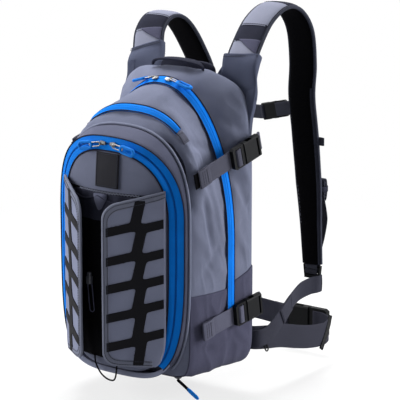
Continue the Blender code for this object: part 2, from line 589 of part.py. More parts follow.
def build_zips():
    run = turns_between(*MAIN_ZIP_TURNS)
    add("main_zip", band(MAIN_ZIP_Y, MAIN_ZIP_HALF, run, MAIN_ZIP_FOOT_H), BLUE)
    add("mid_zip", band(MID_ZIP_Y, MID_ZIP_HALF, turns_between(*MID_ZIP_TURNS)), BLUE)
    half, _, top, _, middle = bag_section(MAIN_ZIP_Y)
    slope_low = bag_section(MAIN_ZIP_Y - MAIN_ZIP_HALF)[2]
    slope_high = bag_section(MAIN_ZIP_Y + MAIN_ZIP_HALF)[2]
    lean = Vector((0, -(slope_high - slope_low), 2 * MAIN_ZIP_HALF)).normalized()
    radius = half**2 / (top - middle)
    lift = BAND_GAP + BAND_THICK + MAIN_SLIDER_LIFT
    bridge = Vector((BRIDGE_LONG * SLIDER_LONG / 2, 0, SLIDER_HIGH + GAP))
    for side, word in ((1, "right"), (-1, "left")):
        turn = math.radians(MAIN_SLIDER_ANGLE) * side
        spin = Matrix.Rotation(turn, 3, "Y")
        centre = Vector((0, MAIN_ZIP_Y, top - radius))
        place = centre + spin @ (Vector((0, 0, radius)) + lean * lift)
        rest = empty(f"main_{word}_rest", place, frame_from(spin @ Vector((side, 0, 0)), spin @ lean))
        put(f"main_slider_{word}", slider_shape(), METAL, rest)
        droop = Matrix.Rotation(math.radians(PULL_DROOP), 3, "Y")
        eye = empty(f"main_{word}_eye", bridge, droop, rest)
        put(f"main_pull_{word}", pull_shape(), METAL, eye)

        x, h = side * FRONT_SLIDER_X, POD_TOP - ZIP_TAPE
        place = (x, front_y(x, h) - ZIP_THICK / 2 - 2 * GAP, h)
        rest = empty(f"front_{word}_rest", place, frame_from((side, 0, 0), (0, -1, 0)))
        put(f"front_slider_{word}", slider_shape(), METAL, rest)
        droop = Matrix.Rotation(math.radians(-side * PULL_DROOP), 3, "Z")
        eye = empty(f"front_{word}_eye", bridge, droop, rest)
        put(f"front_pull_{word}", pull_shape(), METAL, eye)
    rest = empty("base_zip_rest", (BASE_ZIP_X, BASE_ZIP_Y, BASE_ZIP_H), frame_from((1, 0, 0), (0, 0, -1)))
    put("base_slider", slider_shape(), METAL, rest)
    eye = empty("base_pull_eye", (0, 0, SLIDER_HIGH + GAP), None, rest)
    bm = pull_shape(BASE_PULL_LONG)
    bmesh.ops.rotate(bm, verts=bm.verts, matrix=Matrix.Rotation(math.radians(BASE_PULL_TILT - 90), 3, "Y"))
    put("base_pull", bm, BLUE, eye)
    tab = [Vector(point) for point in MID_TAB]
    add("mid_zip_tab", ribbon(tab, (MID_TAB_WIDE, MID_TAB_WIDE), MID_TAB_THICK, (ALONG_Y, ALONG_Y)), WEBBING)


# Straps
def mirrored(points, side):
    return [(side * x, y, h) for x, y, h in points]


def build_shoulder(side, word, wing_path, strap_path):
    wing = smooth(wing_path, PER_SPAN)
    meets = Vector(strap_path[0]) - Vector(wing_path[-1])
    meets.x = 0
    flat = (ALONG_X, ALONG_X)
    add(f"wing_{word}", ribbon(wing, (WING_WIDE, WING_WIDE), WING_THICK, flat, PAD_PROFILE, ends=meets), DARK)
    strap = smooth(strap_path, PER_SPAN)
    add(f"strap_{word}", ribbon(strap, STRAP_WIDTHS, STRAP_THICK, flat, PAD_PROFILE, starts=meets), GREY)
    x, y, h = strap_path[-1]
    axis = empty(f"ladder_{word}_axis", (x, y, h - GAP))
    half, foot = LADDER_WIDE / 2, LADDER_WIDE / 2 * LADDER_TAPER
    outline = [(-half, -LADDER_TOP), (half, -LADDER_TOP), (foot, -LADDER_LONG), (-foot, -LADDER_LONG)]
    bm = plate(outline, LADDER_THICK)
    bmesh.ops.translate(bm, verts=bm.verts, vec=(0, -LADDER_THICK / 2, 0))
    ladder = put(f"ladder_{word}", bm, PLASTIC, axis)
    slot = half * LADDER_SLOT_SHARE
    for index, (low, high) in enumerate(LADDER_SLOTS):
        cut(ladder, f"slot_{index}", box((-slot, -LADDER_THICK, low), (slot, LADDER_THICK, high)))
    web = smooth(mirrored(LOWER_WEB, side), TWIST_PER_SPAN)
    twist = ((side, 0, 0), (side, 0, 0), UPRIGHT, UPRIGHT, UPRIGHT, UPRIGHT)
    add(f"lower_web_{word}", ribbon(web, (WEB_WIDE, WEB_WIDE), WEB_THICK, twist, TWIST_PROFILE), WEBBING)


def build_haul_loop():
    line = []
    for step in range(HAUL_STEPS + 1):
        turn = math.pi * step / HAUL_STEPS
        rise = (HAUL_TOP_H - HAUL_FOOT_H) * abs(math.sin(turn))**HAUL_SQUARENESS
        line.append(Vector((-HAUL_HALF * math.cos(turn), 0, rise)))
    widths = (HAUL_FOOT, HAUL_NECK, *[HAUL_WIDE] * 5, HAUL_NECK, HAUL_FOOT)
    axis = empty("haul_axis", (0, HAUL_Y, HAUL_FOOT_H))
    put("haul_loop", ribbon(line, widths, HAUL_THICK, (ALONG_Y, ALONG_Y)), WEBBING, axis)


def build_yoke():
    rear = BAG_SECTIONS[0][0]
    bm = box((-YOKE_HALF, rear + GAP, YOKE_LOW), (YOKE_HALF, rear + YOKE_THICK, YOKE_TOP))
    add("yoke_panel", bm, DARK)


# Buckles
def plug_outline(k):
    """Half of a plug from its tail to its prongs, mirrored to the whole outline; X runs into the socket."""
    tip, neck, barb = PLUG_TAIL + PRONG_LONG, PRONG_OUTER - BARB, PLUG_TAIL + BARB_FROM
    root = PLUG_TAIL + ROOT_LONG
    half = [
        (0, PLUG_HALF * PLUG_TAPER), (PLUG_CORNER, PLUG_HALF), (PLUG_TAIL, PLUG_HALF), (PLUG_TAIL, neck),
        (barb, neck), (barb + BARB_RAMP, PRONG_OUTER), (tip - NOSE_LONG, PRONG_OUTER),
        (tip, PRONG_OUTER - NOSE_IN), (tip - NOSE_BACK, PRONG_INNER), (root, PRONG_INNER - ROOT_IN),
        (root, GUIDE_HALF), (PLUG_TAIL + GUIDE_LONG, GUIDE_HALF * GUIDE_TAPER),
    ]
    whole = half + [(x, -z) for x, z in reversed(half)]
    return [(x * k, z * k) for x, z in whole]


def build_buckle(prefix, frame, web, start, lift):
    """A socket, and a plug seated in it, along local X of a frame; lift is the plug's underside."""
    k = web / BUCKLE_WEB
    slot = web / 2 + SLOT_CLEAR
    bm = plate(plug_outline(k), PLUG_THICK * k)
    bmesh.ops.translate(bm, verts=bm.verts, vec=(start, lift, 0))
    plug = put(f"{prefix}_plug", bm, PLASTIC, frame)
    middle = lift + PLUG_THICK * k / 2
    mouth = start + (PLUG_TAIL + SOCKET_CLEAR) * k
    half, thick = SOCKET_HALF * k, SOCKET_THICK * k / 2
    for index, (low, high) in enumerate(PLUG_SLOTS):
        first, last = start + low * k, start + high * k
        cut(plug, f"slot_{index}", box((first, middle - 2 * thick, -slot), (last, middle + 2 * thick, slot)))
    bm = box((mouth, middle - thick, -half), (mouth + SOCKET_LONG * k, middle + thick, half))
    round_edges(bm, SOCKET_EDGE * k, 2,
                lambda edge: abs(edge.verts[0].co.x - edge.verts[1].co.x) > SOCKET_LONG * k / 2)
    socket = put(f"{prefix}_socket", bm, PLASTIC, frame)
    wide, high = CAVITY_HALF * k, CAVITY_THICK * k / 2
    first, last = mouth - SOCKET_EDGE * k, mouth + CAVITY_LONG * k
    cut(socket, "cavity", box((first, middle - high, -wide), (last, middle + high, wide)))
    first, last = mouth + WINDOW_FROM * k, mouth + (WINDOW_FROM + WINDOW_LONG) * k
    cut(socket, "windows", box((first, middle - high, -2 * half), (last, middle + high, 2 * half)))
    first, last = mouth + BAR_SLOT_FROM * k, mouth + BAR_SLOT_TO * k
    cut(socket, "bar_slot", box((first, middle - 2 * thick, -slot), (last, middle + 2 * thick, slot)))
    return socket


def build_compression(word, front, rear, shift):
    side = math.copysign(1, front[0])
    frame = empty(f"compression_{word}", front, side_frame(Vector(rear) - Vector(front), (side, 0, 0)))
    start = PLUG_START + shift
    ends = start + PLUG_TAIL / 2
    profile = [(0, 0), (ends, 0), (ends, WEB_THICK), (STRAP_TAB, WEB_THICK),
               (STRAP_TAB - TAB_SLOPE, TAB_THICK), (0, TAB_THICK)]
    put(f"{word}_web", across_strip(profile, WEB_WIDE), WEBBING, frame)
    socket = build_buckle(word, frame, BUCKLE_WEB, start, PLUG_LIFT)
    back = start + PLUG_TAIL + SOCKET_LONG
    reach = (Vector(rear) - Vector(front)).length + TAIL_PAST_END
    top = TAIL_LOW + TAIL_THICK
    tail = [(back - TAIL_OVERLAP, TAIL_LOW), (back, TAIL_LOW), (reach, -TAIL_DROP),
            (reach, -TAIL_DROP + TAIL_END_THICK), (back, top), (back - TAIL_OVERLAP, top)]
    join(socket, "tail", across_strip(tail, WEB_WIDE))


def build_sternum():
    right, left = [Vector(point) for point in STERNUM_RIGHT], smooth(STERNUM_LEFT, PER_SPAN)
    for word, line in (("right", right), ("left", left)):
        web = ribbon(line, (SMALL_WEB_WIDE, SMALL_WEB_WIDE), WEB_THICK, (UPRIGHT, UPRIGHT))
        add(f"sternum_web_{word}", web, WEBBING)
    place = right[0] + (right[1] - right[0]).normalized() * STERNUM_BUCKLE_AT + Vector((0, WEB_THICK / 2, 0))
    frame = empty("sternum_buckle", place, side_frame(right[1] - right[0], (0, 1, 0)))
    build_buckle("sternum", frame, SMALL_WEB_WIDE, 0, GAP)


def build_hip_belt():
    for word, route in (("right", HIP_RIGHT), ("left", HIP_LEFT)):
        line = smooth(route, PER_SPAN)
        web = ribbon(line, (HIP_WEB_WIDE, HIP_WEB_WIDE), WEB_THICK, (UPRIGHT, UPRIGHT))
        add(f"hip_web_{word}", web, WEBBING)
    frame = empty("hip_buckle", HIP_BUCKLE_FROM, side_frame(HIP_BUCKLE_ALONG, (0, 1, 0)))
    build_buckle("hip", frame, HIP_WEB_WIDE, 0, GAP)


# Cord lock and elastic of the front
def build_front_cord():
    surface = front_y(CORD_LOCK_X, CORD_LOCK_H) - PATCH_GAP - PATCH_THICK
    axis = empty("cord_lock_axis", (CORD_LOCK_X, surface - CORD_LOCK_RADIUS - 2 * GAP, CORD_LOCK_H))
    turns = [2 * math.pi * step / CORD_LOCK_SIDES for step in range(CORD_LOCK_SIDES)]
    rings = []
    for height, share in CORD_LOCK_PROFILE:
        radius, z = CORD_LOCK_RADIUS * share, height * CORD_LOCK_LONG
        rings.append([Vector((radius * math.cos(turn), radius * math.sin(turn), z)) for turn in turns])
    put("cord_lock", loft(rings), PLASTIC, axis)
    tube("elastic_loop", smooth(ELASTIC_ROUTE, ELASTIC_PER_SPAN), ELASTIC_RADIUS, BLACK)


def main():
    door = empty("door_axis", (0, DOOR_AXIS_Y, DOOR_AXIS_H))
    build_bag()
    build_back()
    build_front_pocket(door)
    build_flap(1, "flap_right")
    build_flap(-1, "flap_left")
    build_piping()
    build_zips()
    build_shoulder(1, "right", WING_RIGHT, STRAP_RIGHT)
    build_shoulder(-1, "left", WING_LEFT, STRAP_LEFT)
    build_haul_loop()
    build_yoke()
    for word, (front, rear, shift) in COMPRESSION.items():
        build_compression(word, front, rear, shift)
    build_sternum()
    build_hip_belt()
    build_front_cord()


main()
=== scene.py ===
import math

import bmesh
import bpy
import numpy as np
from mathutils import Matrix, Vector, noise


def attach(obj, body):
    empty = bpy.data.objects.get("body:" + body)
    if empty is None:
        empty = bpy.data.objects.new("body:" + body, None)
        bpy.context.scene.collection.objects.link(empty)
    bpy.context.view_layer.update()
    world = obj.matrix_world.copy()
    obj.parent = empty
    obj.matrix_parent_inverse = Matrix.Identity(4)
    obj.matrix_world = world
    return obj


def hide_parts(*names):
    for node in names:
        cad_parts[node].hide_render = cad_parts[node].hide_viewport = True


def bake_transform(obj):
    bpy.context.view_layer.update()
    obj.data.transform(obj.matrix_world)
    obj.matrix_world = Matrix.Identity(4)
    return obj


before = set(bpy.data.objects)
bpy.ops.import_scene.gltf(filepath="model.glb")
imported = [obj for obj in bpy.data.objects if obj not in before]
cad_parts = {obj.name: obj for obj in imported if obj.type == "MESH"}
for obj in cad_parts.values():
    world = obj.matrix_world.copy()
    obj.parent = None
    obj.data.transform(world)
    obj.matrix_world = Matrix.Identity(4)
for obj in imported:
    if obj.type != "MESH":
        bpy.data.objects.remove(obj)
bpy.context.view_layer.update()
baseDrop = 0.22    # the bag's base lies this far under the origin; heights h below are above the base
upright, alongX, alongY, frontward = (0, 0, 1), (1, 0, 0), (0, 1, 0), (0, -1, 0)
bothSides = ((1, "right"), (-1, "left"))
print("frame loaded:", len(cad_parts), "nodes")

bpy.context.scene.view_settings.view_transform = "Standard"


def linkObject(name, data):
    made = bpy.data.objects.new(name, data)
    bpy.context.scene.collection.objects.link(made)
    return made


def addNode(tree, kind, inputs=(), **settings):
    # inputs by place or by name, each a socket to link or a plain value
    node = tree.nodes.new("ShaderNode" + kind)
    for key, value in settings.items():
        setattr(node, key, value)
    for key, value in inputs.items() if isinstance(inputs, dict) else enumerate(inputs):
        if isinstance(value, bpy.types.NodeSocket):
            tree.links.new(value, node.inputs[key])
        else:
            node.inputs[key].default_value = value
    return node


def combine(tree, operation, *values):
    return addNode(tree, "Math", values, operation=operation).outputs[0]


# camera, light and floor
camera = {"azimuth": 38.0, "elevation": 12.6, "distance": 4.0, "pixelsPerMetre": 626.0,
          "originPixel": (189.0, 212.8), "frame": 400, "sensor": 36.0}
lamps = {  # name: place in camera axes (right, up, towards the camera), size, watts
    "left": ((-2.3, 0.7, 0.0), 1.4, 54.0),
    "right": ((2.2, 0.5, 0.2), 1.4, 54.0),
    "top": ((-0.2, 2.4, -0.35), 1.5, 84.0),
}
studio = {"worldLight": 0.20, "worldTint": (0.95, 0.97, 1.0, 1), "white": (1, 1, 1, 1), "floorH": -0.050,
          "floorHalf": 5.0, "floorTone": (0.9, 0.9, 0.9, 1), "bounce": (0.45, 0.45, 0.45, 1),
          "fade": {"From Min": 0.30, "From Max": 1.30, "To Min": 0.72, "To Max": 1.0}}


def cameraAxes():
    a, e = math.radians(camera["azimuth"]), math.radians(camera["elevation"])
    ahead = Vector((-math.sin(a) * math.cos(e), math.cos(a) * math.cos(e), -math.sin(e)))
    right = Vector((math.cos(a), math.sin(a), 0))
    return right, right.cross(ahead), ahead


def makeCamera():
    right, up, ahead = cameraAxes()
    scale, middle = camera["pixelsPerMetre"], camera["frame"] / 2
    data = bpy.data.cameras.new("photoCamera")
    data.sensor_fit = "HORIZONTAL"
    data.sensor_width = camera["sensor"]
    data.lens = scale * camera["distance"] * camera["sensor"] / camera["frame"]
    u, v = camera["originPixel"]
    target = right * ((middle - u) / scale) + up * ((v - middle) / scale)
    turn = Matrix((right, up, -ahead)).transposed().to_4x4()
    eye = linkObject("photoCamera", data)
    eye.matrix_world = Matrix.Translation(target - ahead * camera["distance"]) @ turn
    bpy.context.scene.camera = eye


def whiteForCamera(tree, pale, white):
    # straight, mirrored and see-through views meet plain white, and the light itself stays even
    path = addNode(tree, "LightPath").outputs
    seen = combine(tree, "MAXIMUM", path["Is Camera Ray"], path["Is Glossy Ray"])
    seen = combine(tree, "MAXIMUM", seen, path["Is Transmission Ray"])
    return addNode(tree, "MixShader", (seen, pale.outputs[0], white.outputs[0])).outputs


def emptyTree(owner):
    owner.use_nodes = True
    owner.node_tree.nodes.clear()
    return owner.node_tree


def makeStudio():
    world = bpy.data.worlds.new("studio")
    bpy.context.scene.world = world
    tree = emptyTree(world)
    pale = addNode(tree, "Background", (studio["worldTint"], studio["worldLight"]))
    white = addNode(tree, "Background", (studio["white"],))
    addNode(tree, "OutputWorld", (whiteForCamera(tree, pale, white)[0],))

    right, up, ahead = cameraAxes()
    for name, (place, size, watts) in lamps.items():
        data = bpy.data.lights.new(name, "AREA")
        data.size, data.energy = size, watts
        spot = right * place[0] + up * place[1] - ahead * place[2]
        turn = spot.to_track_quat("Z", "Y").to_matrix().to_4x4()
        linkObject(name, data).matrix_world = Matrix.Translation(spot) @ turn

    bm = bmesh.new()
    bmesh.ops.create_grid(bm, x_segments=1, y_segments=1, size=studio["floorHalf"])
    bmesh.ops.translate(bm, verts=bm.verts, vec=(0, 0, studio["floorH"] - baseDrop))
    mesh = bpy.data.meshes.new("floor")
    bm.to_mesh(mesh)
    bm.free()
    look = bpy.data.materials.new("paleFloor")
    tree = emptyTree(look)
    away = addNode(tree, "VectorMath", (addNode(tree, "TexCoord").outputs["Object"],), operation="LENGTH")
    fade = addNode(tree, "MapRange", {0: away.outputs["Value"], **studio["fade"]}, interpolation_type="SMOOTHSTEP")
    matte, bounce = (addNode(tree, "BsdfDiffuse", (studio[tone],)) for tone in ("floorTone", "bounce"))
    glow = addNode(tree, "Emission")
    soft = addNode(tree, "MixShader", (fade.outputs[0], matte.outputs[0], glow.outputs[0]))
    addNode(tree, "OutputMaterial", (whiteForCamera(tree, bounce, soft)[0],))
    mesh.materials.append(look)
    floor = linkObject("floor", mesh)


makeCamera()
makeStudio()
print("camera and studio ready")


# node groups for the effects that the finishes share
def groupTree(name, inputs, outputs):
    tree = bpy.data.node_groups.new(name, "ShaderNodeTree")
    tree.interface.new_socket("Vector", in_out="INPUT", socket_type="NodeSocketVector")
    for label in inputs:
        tree.interface.new_socket(label, in_out="INPUT", socket_type="NodeSocketFloat")
    for label in outputs:
        tree.interface.new_socket(label, in_out="OUTPUT", socket_type="NodeSocketFloat")
    given = tree.nodes.new("NodeGroupInput").outputs
    return tree, given, tree.nodes.new("NodeGroupOutput").inputs


def scaledPlane(tree, given, across, along):
    split = addNode(tree, "SeparateXYZ", (given["Vector"],)).outputs
    return combine(tree, "MULTIPLY", split[0], given[across]), combine(tree, "MULTIPLY", split[1], given[along])


def plainWeave():
    # threads over and under each other, in x and y of the vector
    tree, given, out = groupTree("plainWeave", ("Across", "Along"), ("Height",))
    x, y = scaledPlane(tree, given, "Across", "Along")
    warp, weft = (combine(tree, "ABSOLUTE", combine(tree, "SINE", combine(tree, "MULTIPLY", value, math.pi)))
                  for value in (x, y))
    turn = combine(tree, "ADD", combine(tree, "FLOOR", x), combine(tree, "FLOOR", y))
    over = combine(tree, "PINGPONG", turn, 1.0)
    under = combine(tree, "SUBTRACT", 1.0, over)
    height = combine(tree, "ADD", combine(tree, "MULTIPLY", warp, over), combine(tree, "MULTIPLY", weft, under))
    tree.links.new(height, out["Height"])
    return tree


def handledTone():
    # broad patches and fine specks, as handled cloth and moulded parts have
    tree, given, out = groupTree("handledTone", ("Scale",), ("Mask", "Specks"))
    broad = addNode(tree, "TexNoise", {"Vector": given["Vector"], "Scale": given["Scale"], "Detail": 4,
                                       "Roughness": 0.6})
    fine = addNode(tree, "TexNoise", {"Vector": given["Vector"], "Detail": 2,
                                      "Scale": combine(tree, "MULTIPLY", given["Scale"], 60.0)})
    stretch = addNode(tree, "MapRange", {0: broad.outputs[0], "From Min": 0.3, "From Max": 0.7})
    tree.links.new(stretch.outputs[0], out["Mask"])
    tree.links.new(fine.outputs[0], out["Specks"])
    return tree


def airMesh():
    # staggered round holes
    tree, given, out = groupTree("airMesh", ("Holes",), ("Thread",))
    x, y = scaledPlane(tree, given, "Holes", "Holes")
    shift = combine(tree, "MULTIPLY", combine(tree, "PINGPONG", combine(tree, "FLOOR", y), 1.0), 0.5)
    a = combine(tree, "SUBTRACT", combine(tree, "FRACT", combine(tree, "ADD", x, shift)), 0.5)
    b = combine(tree, "SUBTRACT", combine(tree, "FRACT", y), 0.5)
    far = combine(tree, "ADD", combine(tree, "MULTIPLY", a, a), combine(tree, "MULTIPLY", b, b))
    edge = addNode(tree, "MapRange", {0: combine(tree, "SQRT", far), "From Min": 0.22, "From Max": 0.40},
                   interpolation_type="SMOOTHSTEP")
    tree.links.new(edge.outputs[0], out["Thread"])
    return tree


weaveGroup, toneGroup, meshGroup = plainWeave(), handledTone(), airMesh()


# finishes
def newLook(name, **inputs):
    look = bpy.data.materials.new(name)
    look.use_nodes = True
    shader = look.node_tree.nodes["Principled BSDF"]
    labels = {"metallic": "Metallic", "sheen": "Sheen Weight", "specular": "Specular IOR Level"}
    for key, value in inputs.items():
        shader.inputs[labels[key]].default_value = value
    return look, look.node_tree, shader.inputs, addNode(look.node_tree, "TexCoord").outputs


def placeGroup(tree, group, vector, **values):
    return addNode(tree, "Group", {"Vector": vector, **values}, node_tree=group).outputs


def mixColours(tree, share, first, second, way="MIX"):
    first, second = ((*value, 1) if isinstance(value, tuple) else value for value in (first, second))
    return addNode(tree, "Mix", {0: share, 6: first, 7: second}, data_type="RGBA", blend_type=way).outputs[2]


def spread(tree, value, low, high):
    return addNode(tree, "MapRange", {0: value, "To Min": low, "To Max": high}).outputs[0]


def dress(tree, shader, colour, roughness, height, strength, distance):
    bump = addNode(tree, "Bump", {"Strength": strength, "Distance": distance, "Height": height}).outputs[0]
    for label, source in (("Base Color", colour), ("Roughness", roughness), ("Normal", bump)):
        tree.links.new(source, shader[label])


def clothLook(name, light, dark, across=900.0, along=900.0, roughness=0.82, depth=0.0004, sheen=0.03, weaveShade=0.3,
              specular=0.12):
    look, tree, shader, coords = newLook(name, sheen=sheen, specular=specular)
    weave = placeGroup(tree, weaveGroup, coords["UV"], Across=across, Along=along)["Height"]
    tone = placeGroup(tree, toneGroup, coords["Object"], Scale=16.0)
    colour = mixColours(tree, tone["Mask"], dark, light)
    # darker where the threads dip: painted shade in the grooves of the weave
    colour = mixColours(tree, weaveShade, colour, spread(tree, weave, 0.45, 1.0), "MULTIPLY")
    relief = combine(tree, "ADD", weave, combine(tree, "MULTIPLY", tone["Specks"], 0.7))
    dress(tree, shader, colour, spread(tree, tone["Specks"], roughness - 0.1, roughness + 0.1), relief, 0.5, depth)
    return look


def meshLook(name, thread, hole, holes=420.0):
    look, tree, shader, coords = newLook(name, specular=0.02)
    net = placeGroup(tree, meshGroup, coords["UV"], Holes=holes)["Thread"]
    tone = placeGroup(tree, toneGroup, coords["Object"], Scale=20.0)
    colour = mixColours(tree, 0.35, mixColours(tree, net, hole, thread), spread(tree, tone["Mask"], 0.6, 1.0),
                        "MULTIPLY")
    dress(tree, shader, colour, spread(tree, tone["Specks"], 0.8, 1.0), net, 0.6, 0.0006)
    return look


def plasticLook(name, light, dark, roughness=0.42, specular=0.4):
    look, tree, shader, coords = newLook(name, specular=specular)
    tone = placeGroup(tree, toneGroup, coords["Object"], Scale=60.0)["Mask"]
    skin = addNode(tree, "TexNoise", {"Scale": 1500.0, "Vector": coords["Object"]}).outputs[0]
    dress(tree, shader, mixColours(tree, tone, dark, light), spread(tree, tone, roughness - 0.07, roughness + 0.09),
          skin, 0.35, 0.00012)
    return look


def metalLook(name, light, dark, roughness=0.28):
    look, tree, shader, coords = newLook(name, metallic=1.0)
    tone = placeGroup(tree, toneGroup, coords["Object"], Scale=140.0)
    dress(tree, shader, mixColours(tree, tone["Mask"], dark, light),
          spread(tree, tone["Specks"], roughness - 0.1, roughness + 0.16), tone["Specks"], 0.2, 0.0001)
    return look


tape = {"across": 500.0, "along": 760.0, "roughness": 0.66, "sheen": 0.0, "specular": 0.07}
webbing = {"across": 620.0, "along": 420.0, "roughness": 0.72, "depth": 0.0007, "weaveShade": 0.45}
binding = {"across": 1100.0, "along": 420.0, "roughness": 0.7, "depth": 0.0005, "weaveShade": 0.4}
thread, coil = ({"across": count, "along": count} for count in (2500.0, 1500.0))
finishes = {  # way of making: name, light and dark tone, and what differs from the plain finish
    clothLook: (
        ("greyCloth", (0.185, 0.203, 0.292), (0.150, 0.165, 0.240), {}),
        ("doorCloth", (0.158, 0.173, 0.250), (0.128, 0.141, 0.206), {}),
        ("flapCloth", (0.250, 0.273, 0.388), (0.210, 0.228, 0.330), {}),
        ("slateCloth", (0.105, 0.112, 0.172), (0.080, 0.086, 0.135), {}),
        ("darkCloth", (0.080, 0.081, 0.134), (0.064, 0.065, 0.110), {}),
        ("wingCloth", (0.082, 0.094, 0.150), (0.066, 0.076, 0.124), {}),
        ("strapLight", (0.270, 0.284, 0.370), (0.228, 0.240, 0.318), {}),
        ("coalCloth", (0.028, 0.030, 0.048), (0.019, 0.020, 0.033), {"sheen": 0.0, "specular": 0.05}),
        ("blackCloth", (0.0034, 0.0034, 0.0046), (0.0018, 0.0018, 0.0026),
         {"weaveShade": 0.2, "sheen": 0.0, "specular": 0.03}),
        ("labelCloth", (0.024, 0.024, 0.031), (0.018, 0.018, 0.024),
         {"across": 1400.0, "along": 1400.0, "weaveShade": 0.35}),
        ("blueTape", (0.002, 0.225, 0.860), (0.001, 0.180, 0.720), tape),
        ("sideTape", (0.002, 0.235, 0.930), (0.001, 0.190, 0.800), tape),
        ("blueCord", (0.004, 0.235, 0.840), (0.002, 0.175, 0.660),
         {"along": 700.0, "roughness": 0.65, "depth": 0.0006}),
        ("greyWebbing", (0.082, 0.084, 0.120), (0.062, 0.064, 0.094), webbing),
        ("paleWebbing", (0.118, 0.121, 0.176), (0.090, 0.092, 0.138), webbing),
        ("hipWebbing", (0.034, 0.035, 0.054), (0.026, 0.027, 0.042), {**webbing, "sheen": 0.0}),
        ("darkWebbing", (0.040, 0.043, 0.064), (0.028, 0.030, 0.046), webbing),
        ("bindingTape", (0.215, 0.232, 0.312), (0.175, 0.190, 0.260), binding),
        ("darkBinding", (0.034, 0.038, 0.060), (0.024, 0.027, 0.044), binding),
        ("pipingCloth", (0.235, 0.255, 0.355), (0.195, 0.212, 0.300), {"along": 500.0}),
        ("paleThread", (0.300, 0.320, 0.420), (0.240, 0.260, 0.350), thread),
        ("darkThread", (0.045, 0.048, 0.070), (0.030, 0.032, 0.048), thread),
        ("coilNavy", (0.001, 0.060, 0.270), (0.001, 0.040, 0.200), coil),
        ("coilBlue", (0.001, 0.120, 0.500), (0.001, 0.090, 0.400), coil)),
    meshLook: (
        ("blackMesh", (0.0032, 0.0032, 0.0044), (0.0006, 0.0006, 0.0009), {}),
        ("backMesh", (0.030, 0.031, 0.038), (0.006, 0.006, 0.008), {"holes": 300.0})),
    plasticLook: (
        ("treadRubber", (0.0070, 0.0070, 0.0095), (0.0040, 0.0040, 0.0056), {"roughness": 0.7, "specular": 0.09}),
        ("bucklePlastic", (0.0060, 0.0066, 0.0082), (0.0034, 0.0038, 0.0048), {"roughness": 0.46, "specular": 0.08}),
        ("cordLockPlastic", (0.085, 0.090, 0.110), (0.060, 0.064, 0.080), {}),
        ("stiffBoard", (0.62, 0.62, 0.60), (0.50, 0.50, 0.49), {"roughness": 0.55}),
        ("slatePlastic", (0.030, 0.031, 0.036), (0.020, 0.021, 0.025), {})),
    metalLook: (("zipMetal", (0.27, 0.265, 0.26), (0.16, 0.155, 0.15), {}),),
}
looks = {name: make(name, light, dark, **ways) for make, rows in finishes.items() for name, light, dark, ways in rows}
print("finishes ready")


# shared ways of shaping
def smoothLine(points, perSpan):
    knots = [Vector(point) for point in points]
    ends = [2 * knots[0] - knots[1], *knots, 2 * knots[-1] - knots[-2]]
    line = []
    for a, b, c, d in zip(ends, ends[1:], ends[2:], ends[3:]):
        for step in range(perSpan):
            t = step / perSpan
            line.append(0.5 * (2 * b + (c - a) * t + (2 * a - 5 * b + 4 * c - d) * t**2
                               + (3 * b - a - 3 * c + d) * t**3))
    return line + [knots[-1]]


def evenLine(points, count, closed=False):
    spots = np.array([tuple(point) for point in points])
    if closed:
        spots = np.vstack([spots, spots[:1]])
    steps = np.concatenate([[0], np.cumsum(np.linalg.norm(np.diff(spots, axis=0), axis=1))])
    wanted = np.linspace(0, steps[-1], count + 1 if closed else count)
    made = np.stack([np.interp(wanted, steps, spots[:, axis]) for axis in range(spots.shape[1])], 1)
    return [Vector(spot) for spot in (made[:-1] if closed else made)]


def lineLength(points):
    return sum((b - a).length for a, b in zip(points, points[1:]))


def runAt(line, index):
    return (line[min(index + 1, len(line) - 1)] - line[max(index - 1, 0)]).normalized()


def blendValue(values, share):
    place = min(max(share, 0.0), 0.9999) * (len(values) - 1)
    first = int(place)
    return values[first] + (values[first + 1] - values[first]) * (place - first)


def stepBetween(value, low, high):
    t = min(max((value - low) / (high - low), 0.0), 1.0)
    return t * t * (3 - 2 * t)


def wander(x, y, z, scale, seed=0.0):
    return noise.noise(Vector((x * scale + seed, y * scale - seed, z * scale + 2 * seed)))


def loftRings(rings, around=True, caps=True):
    # a grid whose rows are the rings; uv is in metres along and across
    cols, rows = len(rings[0]) - (0 if around else 1), len(rings) - 1
    bm = bmesh.new()
    bmesh.ops.create_grid(bm, x_segments=cols, y_segments=rows, size=0.5)
    uvLayer = bm.loops.layers.uv.new("UVMap")
    middle = [Vector(point) for point in rings[len(rings) // 2]]
    middle += middle[:1] if around else []
    across = [0.0, *np.cumsum([(b - a).length for a, b in zip(middle, middle[1:])])]
    spots = np.array([[tuple(point) for point in ring] for ring in rings])
    along = [0.0, *np.cumsum(np.linalg.norm(np.diff(spots, axis=0), axis=2).mean(axis=1))]
    places = {vert: (round((vert.co.x + 0.5) * cols), round((vert.co.y + 0.5) * rows)) for vert in bm.verts}
    for vert, (col, row) in places.items():
        for loop in vert.link_loops:
            loop[uvLayer].uv = (across[col], along[row])
        vert.co = rings[row][col % len(rings[0])]
    if around:
        bmesh.ops.remove_doubles(bm, verts=bm.verts, dist=1e-6)
        if caps:
            rims = [edge for edge in bm.edges if edge.is_boundary]
            bmesh.ops.holes_fill(bm, edges=rims, sides=0)
        bmesh.ops.recalc_face_normals(bm, faces=bm.faces)
    return bm


def loftClosed(rings):
    # rings that meet end to end
    bm = loftRings([*rings, rings[0]], caps=False)
    bmesh.ops.remove_doubles(bm, verts=bm.verts, dist=1e-6)
    bmesh.ops.recalc_face_normals(bm, faces=bm.faces)
    return bm


def faceOut(bm, out):
    # turns the faces of an open skin; out is a direction, or gives one at a face's middle
    for face in bm.faces:
        face.normal_update()
        if face.normal.dot(out(face.calc_center_median()) if callable(out) else Vector(out)) < 0:
            face.normal_flip()


def flatUv(bm):
    layer = bm.loops.layers.uv.active
    for face in bm.faces:
        for loop in face.loops:
            loop[layer].uv = (loop.vert.co.x, loop.vert.co.z)


